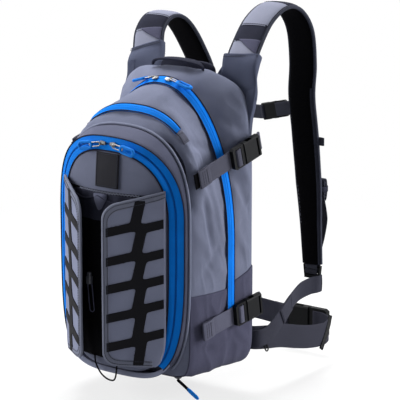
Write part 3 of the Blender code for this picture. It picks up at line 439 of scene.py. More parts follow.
def finishPiece(name, bm, look, body, stands=(), sharp=None, wall=0.0, wallOut=-1.0):
    # a piece on its body; a skin also gets a wall
    bmesh.ops.translate(bm, verts=bm.verts, vec=(0, 0, -baseDrop))
    mesh = bpy.data.meshes.new(name)
    bm.to_mesh(mesh)
    bm.free()
    for key in [look] if isinstance(look, str) else look:
        mesh.materials.append(looks[key])
    mesh.shade_smooth()
    if sharp:
        mesh.set_sharp_from_angle(angle=math.radians(sharp))
    piece = linkObject(name, mesh)
    if body:
        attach(piece, body)
    if stands:
        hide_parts(*stands)
    if wall:
        solid = piece.modifiers.new("wall", "SOLIDIFY")
        solid.thickness, solid.offset = wall, wallOut
    return piece


def framesAlong(line, across, starts=None):
    # (point, along, side, out) at each point of a strip's line
    turns = [Vector(way) for way in ((across, across) if isinstance(across[0], (int, float)) else across)]
    made = []
    for index, point in enumerate(line):
        along = starts.normalized() if starts and index == 0 else runAt(line, index)
        side = blendValue(turns, index / (len(line) - 1))
        side = (side - along * side.dot(along)).normalized()
        made.append((point, along, side, along.cross(side)))
    return made


# cross-sections as (across, out) in shares of half the width and half the thickness
def mirrorHalf(half):
    top = half + tuple((-a, b) for a, b in reversed(half[:-1]))
    return tuple((a, -b) for a, b in top) + tuple(reversed(top))


webHalf = ((-1, 0.3), (-0.985, 0.85), (-0.95, 1), (-0.5, 1), (0, 1))
sleeveHalf = ((-1.0, 0.25), (-0.98, 0.62), (-0.93, 0.86), (-0.8, 0.97), (-0.5, 1.0), (0.0, 1.0))
padHalf = ((-1.0, 0.10), (-0.985, 0.30), (-0.955, 0.40), (-0.915, 0.40), (-0.890, 0.27), (-0.855, 0.45), (-0.74, 0.72),
           (-0.52, 0.91), (-0.26, 0.98), (0.0, 1.0))
webSection, sleeveSection, padSection = (mirrorHalf(half) for half in (webHalf, sleeveHalf, padHalf))


def stripRings(line, widths, thick, across, section=webSection, starts=None, swell=None):
    widths = widths if isinstance(widths, tuple) else (widths, widths)
    rings = []
    for index, (point, _, side, out) in enumerate(framesAlong(line, across, starts)):
        share = index / (len(line) - 1)
        half = blendValue(widths, share) / 2
        deep = (thick * swell(share) if swell else thick) / 2
        rings.append([point + side * half * a + out * deep * b for a, b in section])
    return rings


def makeStrip(name, spots, perSpan, count, wide, thick, across, look, body, stands=(), **ways):
    # webbing along a smooth line through the spots
    line = evenLine(smoothLine(spots, perSpan), count)
    return finishPiece(name, loftRings(stripRings(line, wide, thick, across, **ways)), look, body, stands), line


def circle(middle, a, b, size, sides):
    turns = [2 * math.pi * k / sides for k in range(sides)]
    return [middle + (a * math.cos(turn) + b * math.sin(turn)) * size for turn in turns]


def tubeRings(line, radius, sides=10, lead=upright):
    rings = []
    side = Vector(lead)
    for index, point in enumerate(line):
        along = runAt(line, index)
        side = side - along * side.dot(along)
        if side.length < 1e-4:
            side = along.orthogonal()
        side.normalize()
        size = radius(index / (len(line) - 1)) if callable(radius) else radius
        rings.append(circle(point, side, along.cross(side), size, sides))
    return rings


def makeTube(name, line, radius, sides, look, body, stands=()):
    return finishPiece(name, loftRings(tubeRings(line, radius, sides, alongY)), look, body, stands)


def addTo(bm, part):
    mesh = bpy.data.meshes.new("part")
    part.to_mesh(mesh)
    part.free()
    bm.from_mesh(mesh)
    bpy.data.meshes.remove(mesh)


def sew(name, rows, look, body, step=0.0040, thick=0.00045):
    # rows of (line, outward direction) of thread that dips under between its stitches, in one piece
    bm = bmesh.new()
    for line, outs in rows:
        spots = evenLine(line, 4 * max(2, int(lineLength(line) / step)) + 1)
        rings = []
        for index, spot in enumerate(spots):
            along = runAt(spots, index)
            out = outs(spot) if callable(outs) else Vector(outs)
            out = (out - along * out.dot(along)).normalized()
            size, dip = (thick * 0.5, thick * 1.1) if index % 4 == 0 else (thick, 0.0)
            rings.append(circle(spot - out * dip, along.cross(out), out, size, 6))
        addTo(bm, loftRings(rings))
    finishPiece(name, bm, look, body)


def acrossRow(point, across, wide, count, share=0.42):
    # a row of stitches across webbing, which reaches this share of its width to each side
    return [point + across * wide * share * k for k in np.linspace(-1, 1, count)]


def spotAt(points, place):
    # the point at a place that counts in points
    index = min(int(place), len(points) - 2)
    return points[index].lerp(points[index + 1], place - index)


# the bag: sections as (y, half width, lowest h, highest h, roundness of the top, middle h)
bag = {
    "sections": ((-0.0063, 0.1300, 0.002, 0.4480, 6.00, 0.205), (-0.0150, 0.1335, 0.000, 0.4570, 4.80, 0.205),
                 (-0.0380, 0.1340, 0.000, 0.4555, 3.00, 0.205), (-0.0570, 0.1335, 0.000, 0.4475, 2.05, 0.205),
                 (-0.0660, 0.1330, 0.000, 0.4430, 2.02, 0.205), (-0.0750, 0.1330, 0.000, 0.4395, 2.00, 0.205),
                 (-0.1050, 0.1325, 0.000, 0.4290, 2.10, 0.222), (-0.1276, 0.1305, 0.000, 0.4150, 2.40, 0.245),
                 (-0.1416, 0.1285, 0.001, 0.4020, 2.50, 0.245), (-0.1555, 0.1225, 0.002, 0.3850, 2.50, 0.245)),
    "baseRoundness": 14.0, "around": 264, "along": 84, "rimOff": 0.0006, "rimH": 0.215, "rimInset": 0.04,
    "mainZip": (-0.066, 0.009, 0.092), "tapeShown": (1.0, 0.76), "midZip": (-0.1346, 0.007),
}
boot = {"top": ((-0.16, 0.132), (-0.08, 0.131), (-0.05, 0.142), (-0.004, 0.156)), "off": 0.0010, "own": 47,
        "upper": 20, "thick": 0.0008, "stitchOff": 0.0003, "stitchDrop": 0.0024}
creases = (  # from and to in (y, h), depth, width: the side's folds, on both sides of the bag
    ((-0.152, 0.352), (-0.112, 0.262), 0.0060, 0.0075), ((-0.128, 0.300), (-0.108, 0.190), -0.0050, 0.0070),
    ((-0.150, 0.372), (-0.076, 0.352), -0.0046, 0.0070), ((-0.122, 0.388), (-0.080, 0.402), 0.0046, 0.0080),
    ((-0.104, 0.300), (-0.082, 0.205), 0.0040, 0.0080), ((-0.145, 0.232), (-0.085, 0.160), 0.0036, 0.0090),
    ((-0.130, 0.160), (-0.090, 0.205), -0.0034, 0.0080), ((-0.050, 0.345), (-0.018, 0.290), 0.0036, 0.0075),
    ((-0.046, 0.300), (-0.014, 0.235), -0.0036, 0.0070), ((-0.052, 0.215), (-0.016, 0.170), 0.0030, 0.0080),
    ((-0.050, 0.395), (-0.020, 0.365), -0.0034, 0.0080), ((-0.110, 0.118), (-0.084, 0.060), 0.0030, 0.0100),
    ((-0.150, 0.050), (-0.095, 0.034), -0.0030, 0.0090), ((-0.050, 0.060), (-0.016, 0.030), 0.0030, 0.0090),
)
folds = {"edge": (0.075, 0.112), "strapLines": (((-0.138, 0.314), (0.0, 0.352)), ((-0.138, 0.076), (0.0, 0.096))),
         "strapDip": (0.0032, 0.016), "cloth": ((0.0024, 16.0, 3.0), (0.0010, 42.0, 9.0)), "ridge": 0.0015,
         "top": 0.0026, "topH": (0.36, 0.42), "mainDip": 0.0016, "midDip": 0.0012, "midLow": 0.3,
         "rear": (0.004, 0.02), "front": (0.142, 0.155)}
shade = {"low": (0.250, 0.310), "top": (0.362, 0.400), "side": (0.055, 0.085), "groove": (-0.0075, 0.004, 0.005),
         "bulge": (0.0045, 0.021, 0.010), "start": 0.0004, "wide": 0.0072, "steps": 16, "off": 0.0009, "thick": 0.0006}


def bagValues(y):
    table = np.array(bag["sections"])[::-1]
    ys = table[:, 0]
    y = min(max(y, ys[0]), ys[-1])
    slopes = np.gradient(table[:, 1:], ys, axis=0)
    i = min(max(int(np.searchsorted(ys, y)) - 1, 0), len(ys) - 2)
    wide = ys[i + 1] - ys[i]
    t = (y - ys[i]) / wide
    a, b = table[i, 1:], table[i + 1, 1:]
    return (a * (2 * t**3 - 3 * t**2 + 1) + slopes[i] * wide * (t**3 - 2 * t**2 + t)
            + b * (3 * t**2 - 2 * t**3) + slopes[i + 1] * wide * (t**3 - t**2))


def roundOutline(half, low, top, roundness, middle, base, count):
    # evenly spaced (x, h) round an arch, from the middle of its base up the right side
    def bend(power, reach, first, last):
        # from the middle of an arch to its side, or the other way round
        flat = [(half * t, middle + reach * (1 - t**power)**(1 / power)) for t in first]
        rise = [(half * (1 - t**power)**(1 / power), middle + reach * t) for t in last]
        return flat, rise

    ends = [0.5**(1 / power) for power in (base, roundness)]
    flat, rise = bend(base, low - middle, np.linspace(0, ends[0], 60), np.linspace(ends[0], 0, 60)[1:])
    quarter = flat + rise
    flat, rise = bend(roundness, top - middle, np.linspace(ends[1], 0, 60)[1:], np.linspace(0, ends[1], 60)[1:])
    quarter += rise + flat
    return evenLine(quarter + [(-x, h) for x, h in reversed(quarter[1:-1])], count, closed=True)


def bagOutline(y, outward=0.0):
    half, low, top, roundness, middle = bagValues(y)
    return roundOutline(half + outward, low - outward, top + outward, roundness, middle, bag["baseRoundness"],
                        bag["around"])


def lineGap(y, h, first, last):
    dy, dh = last[0] - first[0], last[1] - first[1]
    t = min(max(((y - first[0]) * dy + (h - first[1]) * dh) / (dy * dy + dh * dh), 0.0), 1.0)
    return math.hypot(y - first[0] - t * dy, h - first[1] - t * dh), t


def shadeReach(x, h):
    return (stepBetween(h, *shade["low"]) * (1 - stepBetween(h, *shade["top"]))
            * stepBetween(abs(x), *shade["side"]))


def shadeFold(x, y, h):
    # the cloth dips behind the pocket's piping and bulges beside the dip
    gap = y - bag["sections"][-1][0]
    return shadeReach(x, h) * sum(depth * math.exp(-((gap - where) / wide)**2)
                                  for depth, where, wide in (shade["groove"], shade["bulge"]))


def bagFold(x, y, h):
    # how far the cloth stands off its even form
    edge = stepBetween(abs(x), *folds["edge"])
    out = 0.0
    for first, last, depth, wide in creases:
        gap, t = lineGap(y, h, first, last)
        out += depth * math.exp(-(gap / wide)**2) * math.sin(math.pi * (0.12 + 0.76 * t)) * edge
    depth, wide = folds["strapDip"]
    for first, last in folds["strapLines"]:
        out -= depth * math.exp(-(lineGap(y, h, first, last)[0] / wide)**2) * edge
    out += sum(depth * wander(x, y, h, scale, seed) for depth, scale, seed in folds["cloth"])
    ridge = 1 - abs(wander(x * 0.6, y + 0.5 * h, h * 0.45 - 0.3 * y, 44.0, 11.0))
    out += folds["ridge"] * (ridge**4 - 0.4) * edge
    out += folds["top"] * stepBetween(h, *folds["topH"]) * wander(x * 1.6, y * 0.8, h, 22.0, 5.0)
    for key, dip, low in (("mainZip", "mainDip", -1), ("midZip", "midDip", folds["midLow"])):
        zipY, half = bag[key][:2]
        out -= folds[dip] * math.exp(-((y - zipY) / (half * 1.3))**4) if h > low else 0.0
    near = stepBetween(-y, *folds["rear"]) * (1 - stepBetween(-y, *folds["front"]))
    return out * near + shadeFold(x, y, h)


def bagRing(y, outward=0.0):
    # points of the outline, moved off it along its own outward direction
    outline = bagOutline(y)
    ring = []
    for index, (x, h) in enumerate(outline):
        run = (outline[(index + 1) % len(outline)] - outline[index - 1]).normalized()
        fold = bagFold(x, y, h) + outward
        ring.append(Vector((x + run.y * fold, y, h - run.x * fold)))
    return ring


def makeSeamShade():
    # a strip of dark cloth in the dip behind the piping: painted shade for the crevice there
    first, steps = bag["sections"][-1][0] + shade["start"], shade["steps"]
    rows = [bagRing(first + shade["wide"] * k / steps, shade["off"]) for k in range(steps + 1)]
    for side, word in bothSides:
        rings = []
        for run in zip(*rows):
            reach = shadeReach(run[0].x, run[0].z) if run[0].x * side > 0 else 0.0
            if reach > 0.02:
                rings.append([spotAt(run, reach * steps * k / 8) for k in range(9)])
        bm = loftRings(rings, around=False)
        faceOut(bm, lambda spot: spot - Vector((0, 0, 0.2)))
        # the dark colour of these strips is painted shade, not a lining of the bag
        finishPiece(f"seamShade_{word}", bm, "coalCloth", "pack", wall=shade["thick"])


def makeBag():
    rows = np.linspace(bag["sections"][0][0], bag["sections"][-1][0], bag["along"])
    rings = [bagRing(y) for y in rows]
    rimY = rows[0] + bag["rimOff"]
    rim = [Vector((p.x, rimY, p.z)).lerp(Vector((0, rimY, bag["rimH"])), bag["rimInset"]) for p in rings[0]]
    finishPiece("bagShell", loftRings([rim, *rings]), "greyCloth", "pack", ("main_bag",))
    makeSeamShade()

    # the darker cloth round the base, a skin that ends at a sewn edge
    rings, seams = [], {1: [], -1: []}
    tuck = Vector((boot["off"], 0, 0))
    for y in rows:
        ring = bagRing(y, boot["off"])
        edge = np.interp(y, *zip(*boot["top"]))
        halves = {1: ring[:len(ring) // 2], -1: [ring[0], *reversed(ring[len(ring) // 2 + 1:])]}
        for side, half in halves.items():
            last = next(index for index, p in enumerate(half) if p.z > edge)
            a, b = half[last - 1:last + 1]
            end = a.lerp(b, (edge - a.z) / (b.z - a.z))
            halves[side] = [*half[:boot["own"]], *evenLine([*half[boot["own"]:last], end], boot["upper"])]
            seams[side].append(halves[side][-1] + Vector((side * boot["stitchOff"], 0, -boot["stitchDrop"])))
        right, left = halves.values()
        rings.append([left[-1] + tuck, *reversed(left[1:]), *right, right[-1] - tuck])
    bm = loftRings(rings, around=False)
    bmesh.ops.reverse_faces(bm, faces=bm.faces)
    finishPiece("bootSkin", bm, "darkCloth", "pack", ("base_boot",), wall=boot["thick"])
    sew("bootStitches", [(line[2:-2], (side, 0, 0)) for side, line in seams.items()], "darkThread", "pack")


makeBag()
print("bag ready")


# front pocket: outline and crown of its front
pod = {"half": 0.1235, "low": 0.0, "top": 0.3745, "rearTop": 0.385, "roundness": 2.5, "middle": 0.245, "base": 4.2,
       "rearY": -0.156, "edgeY": -0.167, "crown": 0.038, "crownH": 0.22, "fallTop": 0.25, "reachTop": 0.16,
       "fallBase": 0.55, "doorLow": 0.006, "tape": 0.0105, "split": 0.0004, "around": 240, "wallBack": 0.0014,
       "wall": ((0, 0, True), (0.35, -0.0012, True), (0.75, -0.0010, False), (1, 0, False), (1, 0.0022, False),
                (0.5, 0.0026, False), (0, 0.0026, True))}
piping = {"radius": 0.0021, "outward": 0.0029, "off": 0.0020}
trim = {"inset": -0.0004, "back": 0.0006, "turns": (-128, -52, 120), "wide": 0.008, "thick": 0.0022,
        "across": (0, 0.6, 1)}
zipTurns = (-60, 240, 260)
# tubes along the zip tapes' edges, coloured dark as painted shade of the grooves beside the tapes
lipShade = {"radius": 0.0010, "off": 0.0010, "edges": (1, 13), "insets": (-0.0005, 0.0010)}
frontCoil = {"rows": {"frame": (-0.0007, "pack"), "door": (0.0010, "front_door")}, "off": 0.0017, "step": 0.0024,
             "thick": 0.0006}
# half of a zip: (share of the way across from its outer edge, height) with the teeth at the far end, then its rear
frameHalf = ((0.00, 0.0004), (0.03, 0.0011), (0.12, 0.0014), (0.30, 0.0015), (0.50, 0.0020), (0.72, 0.0024),
             (0.90, 0.0023), (0.98, 0.0016), (1.00, 0.0004), (0.97, -0.0002), (0.5, -0.0002), (0.03, -0.0002))
sunk = 0.0008    # the zip lies this far in the front
door = {"inset": 0.0218, "low": 0.0064, "rings": 34, "around": 200, "middleH": 0.19, "thick": 0.0028,
        "core": 0.02, "fade": (0.88, 1.0),
        "folds": ((0.0014, 0.0, 17.0, 2.0), (0.0006, 0.3, 48.0, 4.0)), "zigzag": (-0.0010, 0.0018), "zigzagOff": 0.0012,
        "seam": ((-0.096, 0.287), (0.096, 0.289)), "seamWide": 0.0044, "seamThick": 0.0016, "seamShown": 0.060,
        "seamOff": 0.0010, "seamStep": 0.0038, "seamThread": 0.0010}
sleeve = {"half": 0.072, "low": 0.020, "top": 0.287, "off": 0.0012, "thick": 0.0008, "hem": 0.045,
          "hemRadius": 0.0013, "hemOff": 0.0048, "hemDrop": 0.004, "scallop": 0.008, "bulge": 0.0020,
          "pleats": 0.0016, "pleatWaves": (260, 1.5, 30), "wrinkles": 0.0010, "least": 0.0005, "hemWaves": (46, 0.6)}
foldedTab = {"spots": ((-0.024, 0.2870), (0.006, 0.2870), (0.004, 0.2780), (-0.006, 0.2620), (-0.012, 0.2600),
                       (-0.018, 0.2700)), "off": 0.0062, "inset": 0.0022, "rise": 0.0014, "thick": 0.0010}
labelPatch = {"half": 0.0225, "low": 0.2965, "top": 0.3500, "off": 0.0011, "thick": 0.0011, "crown": 0.0005,
              "stitchInset": 0.0022, "stitchOff": 0.0006}


def frontY(x, h):
    if h > pod["crownH"]:
        fall = pod["fallTop"] * ((h - pod["crownH"]) / pod["reachTop"])**2
    else:
        fall = pod["fallBase"] * ((pod["crownH"] - h) / pod["crownH"])**2
    return pod["edgeY"] - pod["crown"] * max(0.0, 1 - (x / pod["half"])**2) * (1 - fall)


def onFront(spots, lift):
    return [Vector((x, frontY(x, h) - lift, h)) for x, h in spots]


def between(first, last, steps):
    # even (x, h) from one spot to another
    return [(first[0] + (last[0] - first[0]) * k / steps, first[1] + (last[1] - first[1]) * k / steps)
            for k in range(steps + 1)]


def podReach(inset, rear):
    return (pod["low"] + (inset if rear else min(inset, pod["doorLow"])),
            (pod["rearTop"] if rear else pod["top"]) - inset)


def podOutline(inset, low, top, count):
    return roundOutline(pod["half"] - inset, low, top, pod["roundness"], pod["middle"], pod["base"], count)


def turnedOutline(inset, first, last, count, rear=False):
    # part of the outline between two angles in degrees, 90 at the top
    spots = []
    low, top = podReach(inset, rear)
    for turn in np.linspace(first, last, count):
        c, s = math.cos(math.radians(turn)), math.sin(math.radians(turn))
        power = 2 / (pod["roundness"] if s >= 0 else pod["base"])
        reach = top - pod["middle"] if s >= 0 else pod["middle"] - low
        spots.append(((pod["half"] - inset) * math.copysign(abs(c)**power, c),
                      pod["middle"] + reach * math.copysign(abs(s)**power, s)))
    return spots


def makePocketWall():
    rearY, rings = pod["rearY"], []
    for share, inset, rear in pod["wall"]:
        outline = podOutline(inset, *podReach(inset, rear), pod["around"])
        rings.append([Vector((x, rearY + (frontY(x, h) + pod["wallBack"] - rearY) * share, h)) for x, h in outline])
    finishPiece("pocketWall", loftClosed(rings), "slateCloth", "pack", ("front_pocket",))
    outline = turnedOutline(-piping["outward"], *zipTurns, rear=True)
    line = [Vector((x, rearY - piping["off"], h)) for x, h in outline]
    makeTube("pocketPiping", evenLine(line, 240), piping["radius"], 12, "pipingCloth", "pack", ("front_piping",))
    line = onFront(turnedOutline(trim["inset"], *trim["turns"]), -trim["back"])
    makeStrip("pocketTrim", line, 1, 120, trim["wide"], trim["thick"], trim["across"], "pipingCloth", "pack",
              section=sleeveSection)


def zipHalf(outer, inner, flip):
    lines = []
    for share, height in frameHalf:
        inset = outer + (inner - outer) * (1 - share if flip else share)
        lines.append(onFront(turnedOutline(inset, *zipTurns), height - sunk))
    return loftRings([list(ring) for ring in zip(*lines)])


def makeFrontZip():
    wide, split = pod["tape"], pod["split"]
    for word, (gap, body) in frontCoil["rows"].items():
        row = onFront(turnedOutline(wide + gap, *zipTurns), frontCoil["off"])
        sew(f"frontZipCoil_{word}", [(row, frontward)], "coilBlue", body, frontCoil["step"], frontCoil["thick"])
    finishPiece("frontZipFrame", zipHalf(0.0, wide, False), "blueTape", "pack", ("front_zip_frame",))
    finishPiece("frontZipDoor", zipHalf(wide + split, 2 * wide + split, True), "blueTape", "front_door",
                ("front_zip_door",))
    # the lips of cloth that the tapes are sewn under, coloured dark as painted shade for the grooves beside the zip
    outer, inner = lipShade["insets"]
    for name, inset, body in (("frontZipLipShade", outer, "pack"), ("doorZipLipShade", 2 * wide + inner, "front_door")):
        makeTube(name, onFront(turnedOutline(inset, *zipTurns), lipShade["off"]), lipShade["radius"], 8, "coalCloth", body)


def doorFold(x, h):
    return sum(depth * wander(x, y, h, scale, seed) for depth, y, scale, seed in door["folds"])


def makeDoor():
    outline = podOutline(door["inset"], door["low"], pod["top"] - door["inset"], door["around"])
    middle, rings = door["middleH"], []
    for ring in range(door["rings"] + 1):
        share = door["core"] + (1 - door["core"]) * ring / door["rings"]
        fade = 1 - stepBetween(share, *door["fade"])
        spots = [(x * share, middle + (h - middle) * share) for x, h in outline]
        rings.append([Vector((x, frontY(x, h) - doorFold(x, h) * fade, h)) for x, h in spots])
    bm = loftRings(rings, caps=False)
    hole = [edge for edge in bm.edges if edge.is_boundary
            and all(abs(v.co.x) < 0.02 and abs(v.co.z - middle) < 0.02 for v in edge.verts)]
    bmesh.ops.holes_fill(bm, edges=hole, sides=0)
    bmesh.ops.recalc_face_normals(bm, faces=bm.faces)
    faceOut(bm, frontward)
    flatUv(bm)
    finishPiece("doorPanel", bm, "doorCloth", "front_door", ("front_panel",), wall=door["thick"])


def frontPatch(patch, off, cols, rows, shape):
    # a skin on the crowned front; shape gives extra height at (x, h)
    half, low, top = (patch[key] for key in ("half", "low", "top"))
    rings = []
    for row in range(rows + 1):
        h = low + (top - low) * row / rows
        places = [-half + 2 * half * col / cols for col in range(cols + 1)]
        rings.append([Vector((x, frontY(x, h) - (off + shape(x, h)), h)) for x in places])
    return loftRings(rings, around=False)


def makeSleeve():
    half, top = sleeve["half"], sleeve["top"]
    waves, sway, swayWaves = sleeve["pleatWaves"]
    scallops, shift = sleeve["hemWaves"]

    def bulge(x, h):
        pleats = sleeve["pleats"] * math.sin(x * waves + sway * math.sin(h * swayWaves))
        pleats += sleeve["wrinkles"] * wander(x, 0, h, 30.0, 6.0)
        return (sleeve["bulge"] + pleats * 0.5 + sleeve["least"]) * (1 - min(1.0, (abs(x) / half)**4))

    bm = frontPatch(sleeve, sleeve["off"], 60, 80, bulge)
    for face in bm.faces:
        face.material_index = int(face.calc_center_median().z > top - sleeve["hem"])
    finishPiece("toolSleeve", bm, ("blackCloth", "coalCloth"), "front_door", ("tool_sleeve",), wall=sleeve["thick"])
    # scalloped hem along the top of the sleeve
    places = [-half + 2 * half * step / 80 for step in range(81)]
    heights = [top - sleeve["hemDrop"] - sleeve["scallop"] * abs(math.sin(x * scallops + shift)) for x in places]
    line = onFront(zip(places, heights), sleeve["hemOff"])
    makeTube("sleeveHem", evenLine(line, 160), sleeve["hemRadius"], 8, "coalCloth", "front_door")
    # the folded triangle of cloth under the label
    bm = bmesh.new()
    face = bm.faces.new([bm.verts.new(spot) for spot in onFront(foldedTab["spots"], foldedTab["off"])])
    bmesh.ops.inset_region(bm, faces=[face], thickness=foldedTab["inset"], depth=foldedTab["rise"])
    bmesh.ops.subdivide_edges(bm, edges=bm.edges, cuts=3, use_grid_fill=True)
    bmesh.ops.smooth_vert(bm, verts=bm.verts, factor=0.5, use_axis_x=True, use_axis_y=True, use_axis_z=True)
    bmesh.ops.recalc_face_normals(bm, faces=bm.faces)
    finishPiece("foldedTab", bm, "slateCloth", "front_door", wall=foldedTab["thick"])


def makeLabel():
    half, low, top, off, thick = (labelPatch[key] for key in ("half", "low", "top", "off", "thick"))

    def crown(x, h):
        return labelPatch["crown"] * (1 - max(abs(x) / half, abs(2 * (h - low) / (top - low) - 1))**6)

    bm = frontPatch(labelPatch, off + thick, 24, 30, crown)
    finishPiece("labelPatch", bm, "labelCloth", "front_door", ("label_patch",), wall=thick)
    inset, lift = labelPatch["stitchInset"], off + thick + labelPatch["stitchOff"]
    corners = [(x * (half - inset), h) for x, h in ((-1, low + inset), (1, low + inset), (1, top - inset),
                                                    (-1, top - inset), (-1, low + inset))]
    rows = [(onFront(between(a, b, 24), lift), frontward) for a, b in zip(corners, corners[1:])]
    sew("labelStitches", rows, "darkThread", "front_door")
    # the seam across the door under the label, with its stitches; the seam strip's black is painted shade, the shadow
    # line under the stitches
    seam = onFront(between(*door["seam"], 60), door["seamOff"])
    bm = loftRings(stripRings(seam, door["seamWide"], door["seamThick"], upright))
    finishPiece("doorSeam", bm, "blackCloth", "front_door")
    shown = [p for p in evenLine(seam, 72) if abs(p.x) < door["seamShown"]]
    zigzag = [p + Vector((0, -door["zigzagOff"], door["zigzag"][index % 2])) for index, p in enumerate(shown)]
    sew("doorSeamStitches", [(zigzag, frontward)], "paleThread", "front_door", door["seamStep"], door["seamThread"])


makePocketWall()
makeFrontZip()
makeDoor()
makeSleeve()
makeLabel()
print("front pocket ready")


# flaps of the front, each a panel from its hinge line (t = 0) to its free edge
flap = {"axis": (0.100, -0.184), "wide": 0.097, "rest": 35.6, "outerLow": 0.024, "innerLow": 0.027, "outerTop": 0.300,
        "innerTop": 0.276, "corner": 0.020, "thick": 0.0030, "binding": 0.0095, "cornerRise": 0.050,
        "cornerRun": 0.019, "bow": 0.0016, "fold": 0.0009, "stitchWays": (0.28, 0.86), "stitchOff": 0.0027}
# round the bound edge: share of the way in, or metres where it is small, and height
bindingRound = ((-0.0009, 0.0), (-0.0006, 0.0012), (0.0008, 0.0022), (0.5, 0.0025), (0.94, 0.0023), (1.0, 0.0016),
                (1.0, -0.0016), (0.94, -0.0023), (0.5, -0.0025), (0.0008, -0.0022), (-0.0006, -0.0012))
tread = {"leftH": (0.2350, 0.1890, 0.1455, 0.0998, 0.0542), "rightH": (0.2515, 0.2058, 0.1650, 0.1260, 0.0804),
         "bar": 0.0135, "spine": 0.0160, "spineT": 0.0405, "lean": 0.0045, "proud": 0.0011, "soft": 0.0011,
         "leftRise": 0.0115, "rightFall": 0.0095, "topH": 0.2830, "lowH": 0.0300, "cells": (92, 276),
         "first": (0.0030, 0.0275), "last": (0.091, 0.2860), "off": 0.0001}


def flapAxes(side):
    turn = math.radians(flap["rest"])
    return Vector((-side * math.cos(turn), -math.sin(turn), 0)), Vector((side * math.sin(turn), -math.cos(turn), 0))


def flapPoint(side, t, h, off=0.0):
    along, out = flapAxes(side)
    bow = flap["bow"] * math.sin(math.pi * min(max(t / flap["wide"], 0.0), 1.0))
    bow += flap["fold"] * wander(t, 0.2 * side, h, 26.0, 1.0)
    return Vector((side * flap["axis"][0], flap["axis"][1], h)) + along * t + out * (off + bow)


def flapStart(h):
    # the outer edge's t at a height, where the lower corner follows the zip
    rise = flap["cornerRise"]
    fall = min(max((flap["outerLow"] + rise - h) / rise, 0.0), 1.0)
    return flap["cornerRun"] * (1 - math.sqrt(1 - fall**2))


def flapOutline(count, inset=0.0):
    # (t, h) from the outer top round the free edge to the outer base, with rounded free corners
    wide, r = flap["wide"] - inset, flap["corner"] - inset * 0.5
    top, low = flap["innerTop"] - inset, flap["innerLow"] + inset
    slope = (flap["outerTop"] - flap["innerTop"]) / flap["wide"]
    fall = (flap["innerLow"] - flap["outerLow"]) / flap["wide"]
    spots = [(0.0, flap["outerTop"] - inset)]
    spots += [(t, top + slope * (wide - t)) for t in np.linspace(0.01, wide - r, 24)]
    for turn in np.linspace(0, 90, 10)[1:]:
        a = math.radians(turn)
        t = wide - r + r * math.sin(a)
        spots.append((t, top + slope * (wide - t) * (1 - turn / 90) - r * (1 - math.cos(a))))
    spots += [(wide, h) for h in np.linspace(top - r, low + r, 60)[1:-1]]
    for turn in np.linspace(0, 90, 10):
        a = math.radians(turn)
        spots.append((wide - r + r * math.cos(a), low + r - r * math.sin(a)))
    spots += [(t, low - fall * (wide - t)) for t in np.linspace(wide - r, flap["cornerRun"] + 0.0014, 24)[1:]]
    return evenLine([Vector((t, h, 0)) for t, h in spots], count)


def treadBars():
    # bars and a zig-zag spine as (from, to, half width) in (t, h)
    half, spineHalf = tread["bar"] / 2, tread["spine"] / 2
    middle, inner, outer = (tread["spineT"] + tread["lean"] * way for way in (0, 1, -1))
    bars, joints = [], []
    for left, right in zip(tread["leftH"], tread["rightH"]):
        joints.append((left + tread["leftRise"], right - tread["rightFall"]))
        bars.append(((flap["wide"], left - 0.001), (inner, joints[-1][0]), half))
        bars.append(((outer, joints[-1][1]), (-0.010, right + 0.002), half))
    bars.append(((middle - 0.002, tread["topH"]), (inner + 0.002, joints[0][0]), spineHalf))
    bars += [((outer, above[1]), (inner, under[0]), spineHalf) for above, under in zip(joints, joints[1:])]
    bars.append(((outer, joints[-1][1]), (middle + 0.002, tread["lowH"]), spineHalf))
    return bars + [((inner, left), (outer, right), half) for left, right in joints]


def treadGap(t, h):
    # signed gap to the ladder's edge, below 0 inside, where bars and spine flow into each other
    total = np.zeros_like(t)
    for (t0, h0), (t1, h1), wide in treadBars():
        dt, dh = t1 - t0, h1 - h0
        share = np.clip(((t - t0) * dt + (h - h0) * dh) / (dt * dt + dh * dh), 0, 1)
        gap = np.hypot(t - t0 - share * dt, h - h0 - share * dh) - wide
        total += np.exp(-np.clip(gap, -0.02, 0.05) / tread["soft"])
    return -tread["soft"] * np.log(total)


def treadGrid(side, off):
    cols, rows = tread["cells"]
    first, last = np.array(tread["first"]), np.array(tread["last"])
    t, h = np.meshgrid(np.linspace(first[0], last[0], cols + 1), np.linspace(first[1], last[1], rows + 1))
    near = 0.62 * ((last - first) / (cols, rows)).max()
    tiny = 1e-5
    for _ in range(3):
        gap = treadGap(t, h)
        slopeT = (treadGap(t + tiny, h) - treadGap(t - tiny, h)) / (2 * tiny)
        slopeH = (treadGap(t, h + tiny) - treadGap(t, h - tiny)) / (2 * tiny)
        move = np.where(np.abs(gap) < near, gap / np.maximum(slopeT**2 + slopeH**2, 0.05), 0.0)
        t, h = t - move * slopeT, h - move * slopeH
    gap = treadGap(t, h)
    bm = bmesh.new()
    bmesh.ops.create_grid(bm, x_segments=cols, y_segments=rows, size=0.5)
    bm.loops.layers.uv.new("UVMap")
    keep = {}
    for vert in bm.verts:
        at = round((vert.co.y + 0.5) * rows), round((vert.co.x + 0.5) * cols)
        keep[vert] = gap[at] < 4e-5 and t[at] > flapStart(h[at])
        vert.co = flapPoint(side, t[at], h[at], off)
    bmesh.ops.triangulate(bm, faces=bm.faces)
    bmesh.ops.delete(bm, geom=[face for face in bm.faces if not all(keep[v] for v in face.verts)], context="FACES")
    faceOut(bm, flapAxes(side)[1])
    flatUv(bm)
    return bm


